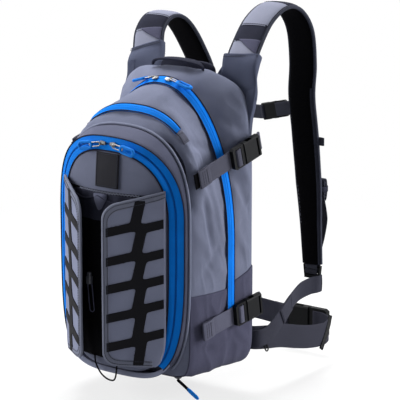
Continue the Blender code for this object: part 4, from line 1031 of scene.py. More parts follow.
def makeFlap(side, word):
    body = f"flap_{word}"
    face, out = flap["thick"] / 2, flapAxes(side)[1]
    outline = flapOutline(150)
    anchor = [Vector((min(flapStart(p.y), p.x), p.y, 0)) for p in outline]
    rings = [[flapPoint(side, a.x + (p.x - a.x) * k / 24, p.y, face) for a, p in zip(anchor, outline)]
             for k in range(25)]
    # columns run from the hinge line to the edge; the top and base rims close on themselves
    bm = loftRings(rings, around=False)
    bmesh.ops.dissolve_degenerate(bm, dist=1e-6, edges=bm.edges)
    uvLayer = bm.loops.layers.uv.active
    for loop in (loop for part in bm.faces for loop in part.loops):
        x, y, h = loop.vert.co
        loop[uvLayer].uv = (math.hypot(x - side * flap["axis"][0], y - flap["axis"][1]), h)
    faceOut(bm, out)
    finishPiece(f"flapPanel_{word}", bm, "flapCloth", body, (body,), wall=flap["thick"])

    # binding folded over the free edge
    edges = list(zip(flapOutline(170), flapOutline(170, flap["binding"])))
    rings = []
    for a, b in edges:
        run = (b - a).normalized()
        spots = [(a + (run * way if abs(way) < 0.01 else (b - a) * way), off) for way, off in bindingRound]
        rings.append([flapPoint(side, spot.x, spot.y, off) for spot, off in spots])
    finishPiece(f"flapBinding_{word}", loftRings(rings), "bindingTape", body)
    rows = [([flapPoint(side, *a.lerp(b, way).to_2d(), flap["stitchOff"]) for a, b in edges], out)
            for way in flap["stitchWays"]]
    sew(f"flapStitches_{word}", rows, "darkThread", body)

    # ladder of rubber bars on a zig-zag spine
    bm = treadGrid(side, face + tread["off"])
    finishPiece(f"flapTread_{word}", bm, "treadRubber", body, sharp=50, wall=tread["proud"], wallOut=1.0)


for side, word in bothSides:
    makeFlap(side, word)
print("flaps ready")


# zips of the bag
bandSection = ((-1.0, 0.0004), (-0.96, 0.0013), (-0.80, 0.0016), (-0.55, 0.0017), (-0.40, 0.0024), (-0.14, 0.0030),
               (-0.05, 0.0028), (0.0, 0.0018), (0.05, 0.0028), (0.14, 0.0030), (0.40, 0.0024), (0.55, 0.0017),
               (0.80, 0.0016), (0.96, 0.0013), (1.0, 0.0004), (0.9, -0.0006), (0.0, -0.0006), (-0.9, -0.0006))
teeth = 7    # the place of the teeth in it
bandZips = {  # name: y, half width, its lowest h and widest x, points along it, look
    "main": (bag["mainZip"][0], bag["mainZip"][1] * bag["tapeShown"][0], bag["mainZip"][2], 1.0, 260, "sideTape"),
    "mid": (bag["midZip"][0], bag["midZip"][1] * bag["tapeShown"][1], 0.25, 0.0865, 120, "blueTape"),
}
midTab = {"route": ((0.0915, -0.1400, 0.3835), (0.0978, -0.1382, 0.3764), (0.1030, -0.1360, 0.3680)),
          "wide": 0.0142, "thick": 0.0026, "stitched": (4, 19)}


def makeBagZips():
    for name, (zipY, half, low, widest, count, look) in bandZips.items():
        lines = []
        for share, height in bandSection:
            y = zipY + half * share
            spots = [Vector((x, y, h)) for x, h in bagOutline(y, height + 0.0004) if h > low and abs(x) < widest]
            start = max(range(len(spots)), key=lambda i: (spots[i] - spots[i - 1]).length)
            lines.append(evenLine(spots[start:] + spots[:start], count))
        # dark lips along both edges of the band: painted shade for the grooves beside the tape
        lipShades = bmesh.new()
        for edge in lipShade["edges"]:
            addTo(lipShades, loftRings(tubeRings(lines[edge], lipShade["radius"], 8)))
        finishPiece(f"{name}ZipLipShades", lipShades, "coalCloth", "pack")
        bm = loftRings([list(ring) for ring in zip(*lines)])
        finishPiece(f"{name}ZipBand", bm, look, "pack", (f"{name}_zip",))
        row = lines[teeth], lambda spot: Vector((spot.x, 0, spot.z - 0.2))
        sew(f"{name}ZipCoil", [row], "coilNavy", "pack", step=0.0024, thick=0.0009)
    # the webbing tab at the end of the upper zip
    wide, thick = midTab["wide"], midTab["thick"]
    line = makeStrip("midZipTab", midTab["route"], 8, 24, wide, thick, alongY, "greyWebbing", "pack",
                     ("mid_zip_tab",))[1]
    rows = []
    for point, _, across, out in (framesAlong(line, alongY)[index] for index in midTab["stitched"]):
        out = out if out.x > 0 else -out
        rows.append((acrossRow(point + out * (thick / 2 + 0.0002), across, wide, 9), out))
    sew("midTabStitches", rows, "darkThread", "pack")


makeBagZips()
print("zips ready")


# shoulder straps: wings of bag cloth, padded straps with a mesh side to the wearer
shoulder = {
    "wing": {"right": ((0.0985, -0.0012, 0.417), (0.098, 0.0005, 0.44), (0.0968, 0.005, 0.457),
                       (0.0953, 0.0112, 0.4710)),
             "left": ((-0.0895, -0.0012, 0.417), (-0.091, 0.0005, 0.434), (-0.095, 0.008, 0.452),
                      (-0.102, 0.0225, 0.468))},
    "strap": {"right": ((0.0951, 0.0120, 0.4724), (0.0912, 0.0280, 0.4920), (0.0875, 0.066, 0.529),
                        (0.089, 0.106, 0.548), (0.091, 0.1415, 0.54), (0.094, 0.168, 0.506), (0.094, 0.1775, 0.45),
                        (0.0915, 0.1785, 0.395), (0.0985, 0.1795, 0.33), (0.107, 0.181, 0.23), (0.113, 0.183, 0.118)),
              "left": ((-0.1032, 0.0246, 0.4698), (-0.115, 0.045, 0.498), (-0.118, 0.07, 0.517),
                       (-0.115, 0.096, 0.517), (-0.112, 0.121, 0.498), (-0.108, 0.146, 0.462), (-0.103, 0.166, 0.418),
                       (-0.099, 0.1775, 0.35), (-0.107, 0.1815, 0.24), (-0.113, 0.183, 0.118))},
    "widths": (0.058, 0.057, 0.056, 0.054, 0.053, 0.052, 0.052, 0.050, 0.042, 0.038), "thick": 0.0130,
    "panels": (0.036, 0.066, 0.125), "binding": 0.84, "inBinding": 0.80, "outerBinding": 0.70, "outerFrom": 0.30,
    "arch": (0.08, 0.33), "stitchOff": 0.0004, "edgeStitch": 0.868, "seamGap": 0.0015,
}
triangle = {"start": 0.010, "past": 0.001, "reach": 0.86, "taper": 1.35, "edge": 0.87, "lift": 0.0012, "thick": 0.0008}
wings = {"wide": 0.066, "flare": (0.006, 0.0, -0.003), "thick": 0.0096, "wrinkle": 0.0016,
         "tilt": {1: (1, 0, -0.18), -1: (1, 0, 0.20)}, "stitchGaps": (0.0030, 0.0058), "stitchOff": 0.0003,
         "spread": 0.013, "overlap": 0.004, "spreadHalf": 0.0022,
         "cornerWidths": (0.010, 0.017, 0.017, 0.010, 0.003), "cornerThick": 0.0100,
         "cornerTop": ((0.0270, 0.0035, 0.456), (0.0266, -0.0010, 0.425)),    # x from the wing's foot
         "cornerLow": ((0.1235, -0.0070, 0.392), (0.1262, -0.0100, 0.352))}


def makePad(side, word, line, meets):
    widths, (first, second, third) = shoulder["widths"], shoulder["panels"]
    total, last = lineLength(line), len(line) - 1

    def swell(share):
        return 1 + 0.05 * math.sin(share * 80) * math.sin(share * 23) * stepBetween(share, 0.3, 0.4)

    bm = loftRings(stripRings(line, widths, shoulder["thick"], alongX, padSection, meets, swell))
    points, _, acrosses, outs = zip(*framesAlong(line, alongX, meets))
    spots = np.array([tuple(p) for p in line])
    for face in bm.faces:
        centre = face.calc_center_median()
        near = int(np.argmin(((spots - np.array(centre))**2).sum(axis=1)))
        far = near / last * total
        at = (centre - points[near]).dot(acrosses[near]) / (blendValue(widths, near / last) / 2)
        inside = (centre - points[near]).dot(outs[near]) > 0
        outer = inside and at * side > 0 and far > shoulder["outerFrom"]
        if abs(at) > shoulder["outerBinding" if outer else "inBinding" if inside else "binding"]:
            face.material_index = 2
        else:
            face.material_index = 3 if inside else 0 if far < first or second < far < third else 1
    piece = finishPiece(f"strapPad_{word}", bm, ("strapLight", "coalCloth", "darkBinding", "blackMesh"), "pack",
                        (f"strap_{word}",))

    def onFace(far, at, lift):
        place = far / total * last
        rise = np.interp(abs(at), *zip(*((abs(a), b) for a, b in reversed(padHalf))))
        sideways = spotAt(acrosses, place) * (blendValue(widths, far / total) / 2) * at
        return spotAt(points, place) + sideways - spotAt(outs, place) * (shoulder["thick"] / 2 * rise + lift)

    # a dark triangle over the first panel, and the sewn edges of the panels
    rings = []
    for step in range(15):
        far = triangle["start"] + (first + triangle["past"] - triangle["start"]) * step / 14
        reach = triangle["reach"] - triangle["taper"] * step / 14
        rings.append([onFace(far, reach + (triangle["edge"] - reach) * k / 12, triangle["lift"]) for k in range(13)])
    bm = loftRings(rings, around=False)
    faceOut(bm, -outs[4])
    finishPiece(f"strapTriangle_{word}", bm, "darkCloth", "pack", wall=triangle["thick"])
    rows, (y, h), gap = [], shoulder["arch"], shoulder["seamGap"]
    for far, index in ((first - gap, 6), (first + gap, 6), (second - gap, 6), (second + gap, 6), (third + gap, 40)):
        row = [onFace(far, at, shoulder["stitchOff"]) for at in np.linspace(-0.85, 0.85, 20)]
        rows.append((row, -outs[index]))
    for at in (-shoulder["edgeStitch"], shoulder["edgeStitch"]):
        row = [onFace(far, at, shoulder["stitchOff"]) for far in np.linspace(0.01, total - 0.01, 220)]
        rows.append((row, lambda spot: Vector((0, spot.y - y, spot.z - h))))
    sew(f"strapStitches_{word}", rows, "darkThread", "pack")


def makeWing(side, word, wing, over):
    # the wing that carries the strap
    wide, thick = wings["wide"], wings["thick"]
    line = evenLine(smoothLine([*wing, over], 16), 70)
    across = (alongX, alongX, wings["tilt"][side])
    rings = stripRings(line, tuple(wide + more for more in wings["flare"]), thick, across, sleeveSection,
                       swell=lambda share: 0.75 + 0.95 * stepBetween(share, 0.35, 0.8))
    frames = framesAlong(line, across)
    for ring, (_, _, _, out) in zip(rings, frames):
        for k, spot in enumerate(ring):
            lift = wings["wrinkle"] * wander(*spot, 34.0, 7.0 + side) * (1 if k < len(ring) / 2 else 0.4)
            ring[k] = spot - out * lift
    piece = finishPiece(f"wingSleeve_{word}", loftRings(rings), "wingCloth", "pack", (f"wing_{word}",))
    point, along, sideways, out = frames[-1]
    point = point - out * (thick * 0.85 + wings["stitchOff"])
    rows = [(acrossRow(point - along * gap, sideways, wide, 20, 0.46), -out) for gap in wings["stitchGaps"]]
    sew(f"wingStitches_{word}", rows, "darkThread", "pack")
    # cloth that spreads from the wing's inner edge over the bag's top
    rings = []
    for share in (step / 20 for step in range(21)):
        point = blendValue([Vector(p) for p in wing], share)
        reach = wings["spread"] * (1 - stepBetween(share, 0.30, 0.95)) + 0.001 + wings["overlap"]
        inner = abs(point.x) - wide / 2 + wings["overlap"]
        rings.append([Vector((side * (inner - reach * (1 - a) / 2), point.y + 0.0012 - b * wings["spreadHalf"],
                              point.z)) for a, b in sleeveSection])
    finishPiece(f"wingSpread_{word}", loftRings(rings), "wingCloth", "pack")
    # the corner of cloth that carries the wing's outer edge down to the bag's side
    foot = abs(wing[0][0])
    route = [(foot + x, y, h) for x, y, h in wings["cornerTop"]] + list(wings["cornerLow"])
    route = [(side * x, y, h) for x, y, h in route]
    makeStrip(f"wingCorner_{word}", route, 16, 50, wings["cornerWidths"], wings["cornerThick"],
              (alongX, (1, 0.1 * side, 0)), "wingCloth", "pack", section=sleeveSection,
              swell=lambda share: 0.4 + 0.6 * stepBetween(share, 0.0, 0.35))


for side, word in bothSides:
    wing, strap = shoulder["wing"][word], shoulder["strap"][word]
    meets = Vector(strap[0]) - Vector(wing[-1])
    meets.x = 0
    line = evenLine(smoothLine(strap, 24), 220)
    makePad(side, word, line, meets)
    makeWing(side, word, wing, Vector(wing[-1]) + meets.normalized() * 0.001 + (line[4] - Vector(strap[0])))

yoke = {"half": 0.054, "low": 0.417, "top": 0.468, "rear": -0.0059, "front": 0.0030,
        "layers": ((0.0, 0.002), (0.12, 0.0006), (0.3, 0.0), (0.6, 0.0), (0.8, 0.0008), (0.92, 0.0024),
                   (0.98, 0.006), (1.0, 0.012), (1.0, 0.02))}
haul = {"half": 0.050, "y": -0.028, "foot": 0.459, "top": 0.4725, "squareness": 0.7, "thick": 0.0034,
        "widths": (0.0026, 0.012, 0.020, 0.020, 0.020, 0.020, 0.020, 0.012, 0.0026)}


def makeYoke():
    half, low, top, rear, front = (yoke[key] for key in ("half", "low", "top", "rear", "front"))
    rings = []
    for depth, inset in yoke["layers"]:
        outline = roundOutline(half - inset, low + inset, top - inset, 5, (low + top) / 2, 5, 120)
        rings.append([Vector((x, rear + (front - rear) * depth, h)) for x, h in outline])
    finishPiece("yokePanel", loftRings(rings), "coalCloth", "pack", ("yoke_panel",))
    line = []
    for turn in (math.pi * step / 64 for step in range(65)):
        rise = (haul["top"] - haul["foot"]) * math.sin(turn)**haul["squareness"]
        line.append(Vector((-haul["half"] * math.cos(turn), haul["y"], haul["foot"] + rise)))
    makeStrip("haulBand", line, 1, 90, haul["widths"], haul["thick"], alongY, "coalCloth", "haul_loop",
              ("haul_loop",), section=sleeveSection)


makeYoke()
print("shoulder straps ready")


# back: a stiff sheet under an air-mesh pad of three crowned islands
back = {"half": 0.118, "low": 0.020, "top": 0.412, "thick": 0.0045, "channels": (0.140, 0.300), "gap": 0.016,
        "bed": -0.0024, "rim": 0.004, "islandInset": 0.005,
        "edge": ((1.0, 0.0008), (0.8, 0.0)),
        "front": ((-0.0030, 0.0), (-0.0024, 0.0012), (-0.0024, 0.006), (-0.0024, 0.03)),
        "crown": ((1.0, -0.0006), (0.995, 0.0004), (0.985, 0.0013), (0.96, 0.0024), (0.92, 0.0034), (0.86, 0.0043),
                  (0.76, 0.0052), (0.62, 0.0060), (0.45, 0.0066), (0.25, 0.0069), (0.06, 0.0070))}


def backOutline(inset, count=240):
    return roundOutline(back["half"] - inset, back["low"] + inset, back["top"] - inset, 6.0, 0.245, 4.2, count)


def makeBack():
    layers = [(-back["thick"] * share, inset) for share, inset in back["edge"]] + list(back["front"])
    rings = [[Vector((x, y, h)) for x, h in backOutline(inset)] for y, inset in layers]
    finishPiece("backBed", loftRings(rings), "blackMesh", "pack", ("back_pad",))
    edges = [back["low"], *back["channels"], back["top"]]
    rows = []
    for number, (low, high) in enumerate(zip(edges, edges[1:])):
        low += back["gap"] / 2 if number else back["rim"]
        high -= back["gap"] / 2 if number < 2 else back["rim"]
        outline = []
        for x, h in backOutline(back["islandInset"], 900):
            spot = Vector((x, min(max(h, low), high)))
            if not outline or (spot - outline[-1]).length > 1e-5:
                outline.append(spot)
        outline = evenLine(outline, 200, closed=True)
        middle = Vector((0, (low + high) / 2))
        rings = []
        for share, rise in back["crown"]:
            spots = [middle + (p - middle) * share for p in outline]
            rings.append([Vector((x, back["bed"] + rise * (1 + 0.10 * wander(x, number, h, 30.0, 8.0)), h))
                          for x, h in spots])
        bm = loftRings(rings)
        flatUv(bm)
        finishPiece(f"backIsland_{number}", bm, "backMesh", "pack")
        around = [middle + (p - middle) * 1.02 for p in [*outline, outline[0]]]
        rows.append(([Vector((x, back["bed"] + 0.0004, h)) for x, h in around], alongY))
    sew("backStitches", rows, "paleThread", "pack")


makeBack()
print("back ready")


# webbing
webs = {
    "compression": {"upper_right": ((0.1285, -0.138, 0.314), (0.1362, 0.0, 0.352), 0.0),
                    "lower_right": ((0.1355, -0.138, 0.076), (0.138, 0.0, 0.096), 0.0),
                    "upper_left": ((-0.1235, -0.13, 0.333), (-0.1345, 0.0, 0.369), -0.028),
                    "lower_left": ((-0.1355, -0.138, 0.076), (-0.138, 0.0, 0.096), 0.0)},
    "wide": 0.0284, "thick": 0.0017, "tab": 0.020, "plugStart": 0.074, "plugTail": 0.026, "plugTravel": 0.024,
    "plugLift": 0.0020, "rises": (0.0009, 0.0010), "socketLong": 0.036, "tailLow": 0.0030, "tailThick": 0.0028,
    "tailDrop": 0.0030, "pastEnd": 0.006, "anchorWide": 0.86,
    "anchor": ((-0.0095, -0.0002), (-0.004, 0.0001), (0.006, 0.0002)),
    "fold": ((0.0005, 0.0020), (-0.0016, 0.0030), (0.0006, 0.0040), (0.008, 0.0042)),
}
buckle = {"web": 0.028, "slots": (0.0075, 0.0175), "plugThick": 0.0070, "mouth": 0.0268, "socketSlot": 0.0305,
          "socketLong": 0.036, "socketHalf": 0.00525, "thick": 0.0017, "sewn": ((0.022, 0.0017), (0.010, 0.0021)),
          "slack": 0.0003, "sink": 0.0020, "edge": 0.0006, "over": 0.0012, "steps": (0.0010, 0.0026)}
lowerWeb = {"route": ((0.1292, 0.1846, 0.0870), (0.1288, 0.1760, 0.0868), (0.1240, 0.16, 0.0860),
                      (0.1240, 0.13, 0.0820), (0.1345, 0.09, 0.0730), (0.14, 0.055, 0.054), (0.1405, 0.028, 0.039),
                      (0.1385, 0.004, 0.035), (0.125, -0.0047, 0.0345), (0.108, -0.0051, 0.0345)),
            "twist": (upright, (0, 0.25, 1), (0, 0.1, 1), upright, upright), "wide": 0.0282, "thick": 0.0017,
            "fold": (0.40, 0.58), "foldOff": 0.0018, "stitchOff": 0.0030}
lowerTab = {"x": (0.1000, 0.1300), "y": 0.1856, "h": 0.1010, "falls": (0.0010, 0.0275), "bow": 0.0012,
            "bend": (0.114, 0.1853, 0.086, 0.100)}
strapEnd = {"x": 0.113, "wide": 0.0232, "thick": 0.0014, "bend": (0.113, 0.183, 0.1205, 0.1135),
            "round": ((0.1794, 0.1235), (0.1790, 0.1165), (0.1790, 0.1122), (0.1804, 0.1104), (0.183, 0.1100),
                      (0.1856, 0.1104), (0.1870, 0.1122), (0.1870, 0.1165), (0.1866, 0.1235)),
            "through": ((0.1874, 0.0955), (0.1868, 0.0985), (0.1850, 0.1003), (0.1820, 0.1010), (0.1799, 0.1024),
                        (0.1792, 0.1055), (0.1795, 0.1076), (0.1808, 0.1085), (0.1850, 0.1086), (0.1878, 0.1096),
                        (0.1889, 0.1130), (0.1890, 0.1180), (0.1889, 0.1258))}
hipBelt = {"right": ((0.108, -0.0023, 0.035), (0.12, -0.0013, 0.035), (0.13, 0.006, 0.0345), (0.1345, 0.03, 0.031),
                     (0.135, 0.068, 0.025), (0.135, 0.11, 0.014), (0.134, 0.15, 0.005), (0.131, 0.19, 0.0),
                     (0.122, 0.217, 0.002), (0.103, 0.225, 0.005), (0.085, 0.225, 0.005)),
           "left": ((-0.108, -0.0023, 0.035), (-0.12, -0.0013, 0.035), (-0.13, 0.006, 0.0345), (-0.1345, 0.03, 0.031),
                    (-0.135, 0.068, 0.025), (-0.135, 0.11, 0.014), (-0.134, 0.15, 0.008), (-0.13, 0.19, 0.006),
                    (-0.11, 0.222, 0.006), (-0.05, 0.228, 0.01), (0.0, 0.23, 0.0075), (0.0225, 0.231, 0.005)),
           "wide": 0.0382, "thick": 0.0017}
sternum = {"right": ((0.1, 0.1868, 0.38), (0.034, 0.1868, 0.3641)),
           "left": ((-0.1, 0.1868, 0.38), (-0.07, 0.1872, 0.37), (-0.03, 0.189, 0.357), (0.0022, 0.1906, 0.3566)),
           "wide": 0.0222, "thick": 0.0017}
frontBuckles = {  # name: corner of its plug, direction along it, webbing, its left route, body, look
    "hip": ((0.1110, 0.2261, 0.0050), (-1, 0, 0), 0.038, hipBelt["left"], "pack", "hipWebbing"),
    "sternum": ((0.0543, 0.1876, 0.3690), (-0.066, 0, -0.0159), 0.022, sternum["left"], "sternum", "darkWebbing"),
}


def makePlugFold(word, at, across, start, lift, web, look):
    # the webbing that comes up through the plug's first slot, over its bar and down through the second
    size = web / buckle["web"]
    first, last = (start + slot * size for slot in buckle["slots"])
    bar = lift + buckle["plugThick"] * size
    low, sink, edge, over = lift + buckle["slack"], bar - buckle["sink"], bar + buckle["edge"], bar + buckle["over"]
    near, far = (step * size for step in buckle["steps"])
    spots = ((first, low), (first, sink), (first + near, edge), (first + far, over), (last - far, over),
             (last - near, edge), (last, sink), (last, low))
    makeStrip(f"plugFold_{word}", [at(*spot) for spot in spots], 6, 40, web, buckle["thick"], across, look,
              f"{word}_plug")


def makeSocketLoop(word, at, across, out, lift, web, route, look, body):
    # the end of the webbing goes round the socket's bar and is sewn to itself
    size = web / buckle["web"]
    middle, half = lift + buckle["plugThick"] * size / 2, buckle["socketHalf"] * size
    slot, end = (buckle["mouth"] * size + buckle[key] * size for key in ("socketSlot", "socketLong"))
    far = evenLine(smoothLine(route, 20), 400)
    total = lineLength(far)
    spots = []
    for side in (1, -1):
        run = [far[round((1 - reach / total) * 399)] + out * side * lay for reach, lay in buckle["sewn"]]
        run += [at(along, middle + side * rise) for along, rise in (
            (end + 0.0030, half * 0.72), (end - 0.0002, half + 0.0010), ((slot + end) / 2 + 0.0006, half + 0.0013),
            (slot + 0.0008, half + 0.0004), (slot, half * 0.5))]
        spots += run[::side]
    makeStrip(f"socketLoop_{word}", spots, 6, 90, web, buckle["thick"], across, look, body)


def makeCompression(word, front, rear, shift):
    front, rear = Vector(front), Vector(rear)
    along = (rear - front).normalized()
    out = Vector((math.copysign(1, front.x), 0, 0))
    out = (out - along * out.dot(along)).normalized()
    across = out.cross(along)
    look = "paleWebbing" if word.startswith("lower") else "greyWebbing"

    def at(far, rise):
        return front + along * far + out * rise

    def lay(name, spots, count, perSpan=8, wide=webs["wide"], thick=webs["thick"], look=look, stands=()):
        makeStrip(f"{name}_{word}", [at(*spot) for spot in spots], perSpan, count, wide, thick, across, look, "pack",
                  stands)

    start = webs["plugStart"] + shift
    low, high = webs["rises"]
    run = [(far, low) for far in (-0.0004, 0.006, 0.02)]
    run += [(far, high) for far in (start - 0.01, start + webs["plugTail"] / 2)]
    lay("web", run, 50, stands=(f"{word}_web",))
    makePlugFold(word, at, across, start, webs["plugLift"], buckle["web"], look)
    if word.startswith("upper"):
        # a black strip at the upper webs' front ends: painted shade of the recess where they run in behind the pocket
        lay("anchor", webs["anchor"], 20, wide=webs["wide"] * webs["anchorWide"], look="blackCloth")
    # the end folded back on itself and sewn down
    tab = min(webs["tab"], start - webs["plugTravel"] - 0.007)
    lay("fold", (*webs["fold"], (tab, 0.0032), (tab + 0.004, 0.0027)), 40)
    rows = [(acrossRow(at(far, 0.0052 - 0.04 * max(0, far - 0.008)), across, webs["wide"], 12), out)
            for far in (0.005, 0.010, tab - 0.0045)]
    sew(f"foldStitches_{word}", rows, "darkThread", "pack")
    # the short tail that holds the socket to the bag's rear edge
    end = start + webs["plugTail"] + webs["socketLong"]
    reach = (rear - front).length + webs["pastEnd"]
    deep = webs["tailThick"]
    rise = webs["tailLow"] + deep / 2
    lay("tail", ((end - 0.0042, rise), (end, rise), (reach + 0.0006, -webs["tailDrop"] + deep / 2)), 30, perSpan=1,
        wide=webs["wide"] + 0.0006, thick=deep + 0.0010)


def bendBetween(piece, word):
    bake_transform(piece)


def makeWebs(side, word):
    twist, wide, thick = (lowerWeb[key] for key in ("twist", "wide", "thick"))
    route = [(side * x, y, h) for x, y, h in lowerWeb["route"]]
    line = makeStrip(f"lowerStrap_{word}", route, 20, 150, wide, thick, twist, "hipWebbing", "pack",
                     (f"lower_web_{word}",))[1]
    # the part that comes down through the ladder lock and folds over on a slant
    rings = []
    for share in (step / 24 for step in range(25)):
        first, last = (Vector((side * x, lowerTab["y"], lowerTab["h"] - fall * share))
                       for x, fall in zip(lowerTab["x"], lowerTab["falls"]))
        bow = lowerTab["bow"] * math.sin(share * 3.0)
        rings.append([first.lerp(last, (a + 1) / 2) + Vector((0, b * thick / 2 + bow, 0)) for a, b in webSection])
    piece = finishPiece(f"lowerTab_{word}", loftRings(rings), "hipWebbing", None)
    bendBetween(piece, word)
    # webbing from the strap's end round the top bar of the ladder lock, and the lower webbing's way through it
    for name, key, count, look, body in (("strapEnd", "round", 60, "darkWebbing", None),
                                         ("ladderWeb", "through", 70, "hipWebbing", f"ladder_{word}")):
        spots = [(side * strapEnd["x"], y, h) for y, h in strapEnd[key]]
        piece = makeStrip(f"{name}_{word}", spots, 8, count, strapEnd["wide"], strapEnd["thick"], alongX, look, body)[0]
        if not body:
            bendBetween(piece, word)
    # a second layer where the strap is folded and sewn
    frames = framesAlong(line, twist)
    outer = Vector((side, 0, 0))
    first, last = (int(len(line) * share) for share in lowerWeb["fold"])
    turns = [blendValue([Vector(v) for v in twist], index / (len(line) - 1)) for index in (first, last)]
    over = [p + outer * lowerWeb["foldOff"] for p in line[first:last]]
    finishPiece(f"lowerFold_{word}", loftRings(stripRings(over, wide, thick, turns)), "hipWebbing", "pack")
    rows = [(acrossRow(frames[index][0] + outer * lowerWeb["stitchOff"], frames[index][2], wide, 12), outer)
            for index in (first + 2, last - 3)]
    sew(f"lowerFoldStitches_{word}", rows, "darkThread", "pack")
    makeStrip(f"hipStrap_{word}", hipBelt[word], 20, 170, hipBelt["wide"], hipBelt["thick"], upright, "hipWebbing",
              "pack", (f"hip_web_{word}",))
    makeStrip(f"sternumStrap_{word}", sternum[word], 16, 60, sternum["wide"], sternum["thick"], upright,
              "darkWebbing", "sternum", (f"sternum_web_{word}",))


def makeFrontBuckle(word, place, along, web, route, body, look):
    place, along, out = Vector(place), Vector(along).normalized(), Vector(alongY)
    across, lift = out.cross(along), 0.0004

    def at(far, rise):
        return place + along * far + out * rise

    makePlugFold(word, at, across, 0.0, lift, web, look)
    makeSocketLoop(word, at, across, out, lift, web, route, look, body)


for word, settings in webs["compression"].items():
    makeCompression(word, *settings)
for side, word in bothSides:
    makeWebs(side, word)
for word, settings in frontBuckles.items():
    makeFrontBuckle(word, *settings)
print("webbing ready")


# small parts
pulls = {  # zip: start and end of the right pull's middle line, and a direction across it
    "front": ((0.0130, -0.2042, 0.3632), (0.0512, -0.2042, 0.3560), upright),
    "main": ((0.0160, -0.0690, 0.4490), (0.0536, -0.0672, 0.4384), alongY),
}
pullRing = {"start": -0.0006, "long": 0.0205, "half": 0.0032, "radius": 0.0010}
pullCord = {"start": 0.0160, "short": 0.0133, "half": 0.0048, "radius": 0.0024}
basePull = {"start": (0.0951, -0.149, -0.0052), "along": (0.866, 0, -0.5), "loop": (0.026, 0.0019, 0.0013),
            "grip": (0.0205, 0.0470), "gripRadius": 0.0030}
elastic = {"route": ((-0.039, -0.189, 0.0215), (-0.034, -0.192, 0.008), (-0.02, -0.195, -0.006),
                     (-0.004, -0.195, -0.0125), (0.006, -0.1935, -0.008), (0.009, -0.1915, 0.0215)),
           "radius": 0.0013}
roll = {"x": 0.118, "y": 0.1965, "h": 0.2425, "deep": 0.0052, "tall": 0.0200, "turns": 2.6, "firstTurn": 1.2,
        "core": 0.30, "wide": 0.020, "thick": 0.0015,
        "slack": ((0.1185, 0.2005, 0.200), (0.1185, 0.2010, 0.185), (0.117, 0.1960, 0.160), (0.1150, 0.1905, 0.140),
                  (0.1142, 0.1888, 0.126)),
        "band": (-0.0045, 0.0045), "bandThick": 0.0008, "bandHalf": 0.0075, "bandReach": 0.0108,
        "bandStretch": (1.65, 0.85), "bandBack": 0.0020}
strapLoop = {"route": ((0.1200, 0.1812, 0.323), (0.1285, 0.1806, 0.323), (0.1335, 0.1822, 0.323),
                       (0.1285, 0.1842, 0.323), (0.1200, 0.1850, 0.323)), "wide": 0.013, "thick": 0.0013}
smallLoops = {  # a cord at the strap's end, a hook under the hip belt, the elastic's end under the cord lock
    "strapEndCord": ((0.0978, 0.1862, 0.1225), (0, 0.05, -1), alongX, (0.026, 0.0036, 0.0007), "blackCloth",
                     "ladder_right"),
    "hipHook": ((0.1372, 0.020, 0.0215), (0, 0.55, -0.83), (0, 0.83, 0.55), (0.0140, 0.0034, 0.0012), "bucklePlastic",
                "pack"),
    "lockElastic": ((-0.0305, -0.2094, 0.1425), (0.08, 0.02, -1), (1, 0, 0.08), (0.046, 0.0044, 0.0009), "slateCloth",
                    "cord_lock"),
}
hipBar = {"y": 0.2140, "run": 0.0360, "rise": 0.0235, "off": 0.0026, "wide": 0.0075, "thick": 0.0026,
          "across": (0, 1, 0.6), "bendX": 0.115, "sink": 0.35, "slant": 0.0022}


def loopTube(start, along, across, length, half, radius):
    # a closed loop of wire or cord, flat in the plane of along and across
    spots = []
    for centre, quarter in ((length - half, -0.5), (half, 0.5)):
        for turn in (math.pi * (k / 12 + quarter) for k in range(13)):
            spots.append(start + along * (centre + half * math.cos(turn)) + across * half * math.sin(turn))
    line = evenLine(spots, 64, closed=True)
    normal = along.cross(across)
    rings = []
    for index, spot in enumerate(line):
        run = (line[(index + 1) % len(line)] - line[index - 1]).normalized()
        rings.append(circle(spot, run.cross(normal), normal, radius, 10))
    return loftClosed(rings)


def makePulls():
    for zipName, (*ends, lead) in pulls.items():
        for side, word in bothSides:
            name = f"{zipName}_pull_{word}"
            first, last = (Vector((side * x, y, h)) for x, y, h in ends)
            along = (last - first).normalized()
            across = (Vector(lead) - along * along.dot(Vector(lead))).normalized()
            bm = loopTube(first + along * pullRing["start"], along, across, pullRing["long"], pullRing["half"],
                          pullRing["radius"])
            finishPiece(f"{name}_ring", bm, "zipMetal", name, (name,))
            bm = loopTube(first + along * pullCord["start"], along, across, (last - first).length - pullCord["short"],
                          pullCord["half"], pullCord["radius"])
            finishPiece(f"{name}_cord", bm, "blueCord", name)
    start, along = Vector(basePull["start"]), Vector(basePull["along"])
    bm = loopTube(start, along, Vector(alongY), *basePull["loop"])
    finishPiece("base_pull_cord", bm, "blackCloth", "base_pull", ("base_pull",))
    line = evenLine([start + along * far for far in basePull["grip"]], 14)
    makeTube("base_pull_grip", line, lambda share: basePull["gripRadius"] * (1 - abs(2 * share - 1)**6 * 0.55), 14,
             "blueCord", "base_pull")


def makeElastic():
    line = smoothLine(elastic["route"], 12)
    piece = makeTube("elasticLoop", line, elastic["radius"], 10, "blackCloth", "front_door", ("elastic_loop",))
    path = [tuple(p + Vector((0, 0, -baseDrop))) for p in line]
    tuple(path[0])
    lineLength(line)


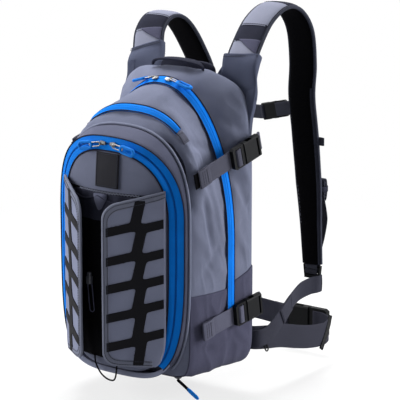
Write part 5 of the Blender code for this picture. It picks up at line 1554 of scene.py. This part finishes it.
def makeRoll():
    # the spare webbing of the right strap, rolled up behind it, and its slack run down to the ladder lock
    spots = []
    for share in (step / 90 for step in range(91)):
        turn = roll["firstTurn"] - 2 * math.pi * roll["turns"] * share
        size = roll["core"] + (1 - roll["core"]) * share
        spots.append((roll["x"], roll["y"] + roll["deep"] * size * math.cos(turn),
                      roll["h"] + roll["tall"] * size * math.sin(turn)))
    spots += roll["slack"]
    makeStrip("rolledTail", spots, 3, 260, roll["wide"], roll["thick"], alongX, "darkWebbing", "pack")
    reach, (wide, deep) = roll["bandReach"], roll["bandStretch"]
    outline = roundOutline(roll["bandHalf"], -reach, reach, 4, 0.0, 4, 60)
    rings = [[Vector((roll["x"] + wide * x, roll["y"] - roll["bandBack"] + deep * y, roll["h"] + h))
              for x, y in outline] for h in roll["band"]]
    finishPiece("rollBand", loftRings(rings, caps=False), "coalCloth", "pack", wall=roll["bandThick"])


def makeHipBar():
    # a bar across the bend of the hip belt
    route = smoothLine(hipBelt["right"], 30)
    bar = []
    for share in (step / 24 for step in range(25)):
        y = hipBar["y"] - hipBar["run"] * share
        near = min(route, key=lambda p: abs(p.y - y) + (0.0 if p.x > hipBar["bendX"] else 1.0))
        bar.append(Vector((near.x + hipBar["off"] * (1 - hipBar["sink"] * (1 - share)),
                           y + hipBar["slant"] * (1 - share), near.z + hipBar["rise"] * (1 - 2 * share))))
    bm = loftRings(stripRings(bar, hipBar["wide"], hipBar["thick"], hipBar["across"], sleeveSection))
    finishPiece("hipBar", bm, "bucklePlastic", "pack")


makePulls()
makeElastic()
makeRoll()
# a small webbing loop at the strap's edge
makeStrip("strapLoop", strapLoop["route"], 10, 40, strapLoop["wide"], strapLoop["thick"], upright, "darkWebbing",
          "pack")
for name, (start, along, across, sizes, look, body) in smallLoops.items():
    bm = loopTube(Vector(start), Vector(along).normalized(), Vector(across).normalized(), *sizes)
    finishPiece(name, bm, look, body)
makeHipBar()

keptNodes = {"bucklePlastic": ("ladder_", "_plug", "_socket"), "zipMetal": ("_slider",),
             "cordLockPlastic": ("cord_lock",), "stiffBoard": ("frame_sheet",), "slatePlastic": ("base_slider",)}
for name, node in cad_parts.items():
    for look, words in keptNodes.items():
        if any(word in name for word in words):
            for slot in node.material_slots:
                slot.material = looks[look]
print("small parts ready")
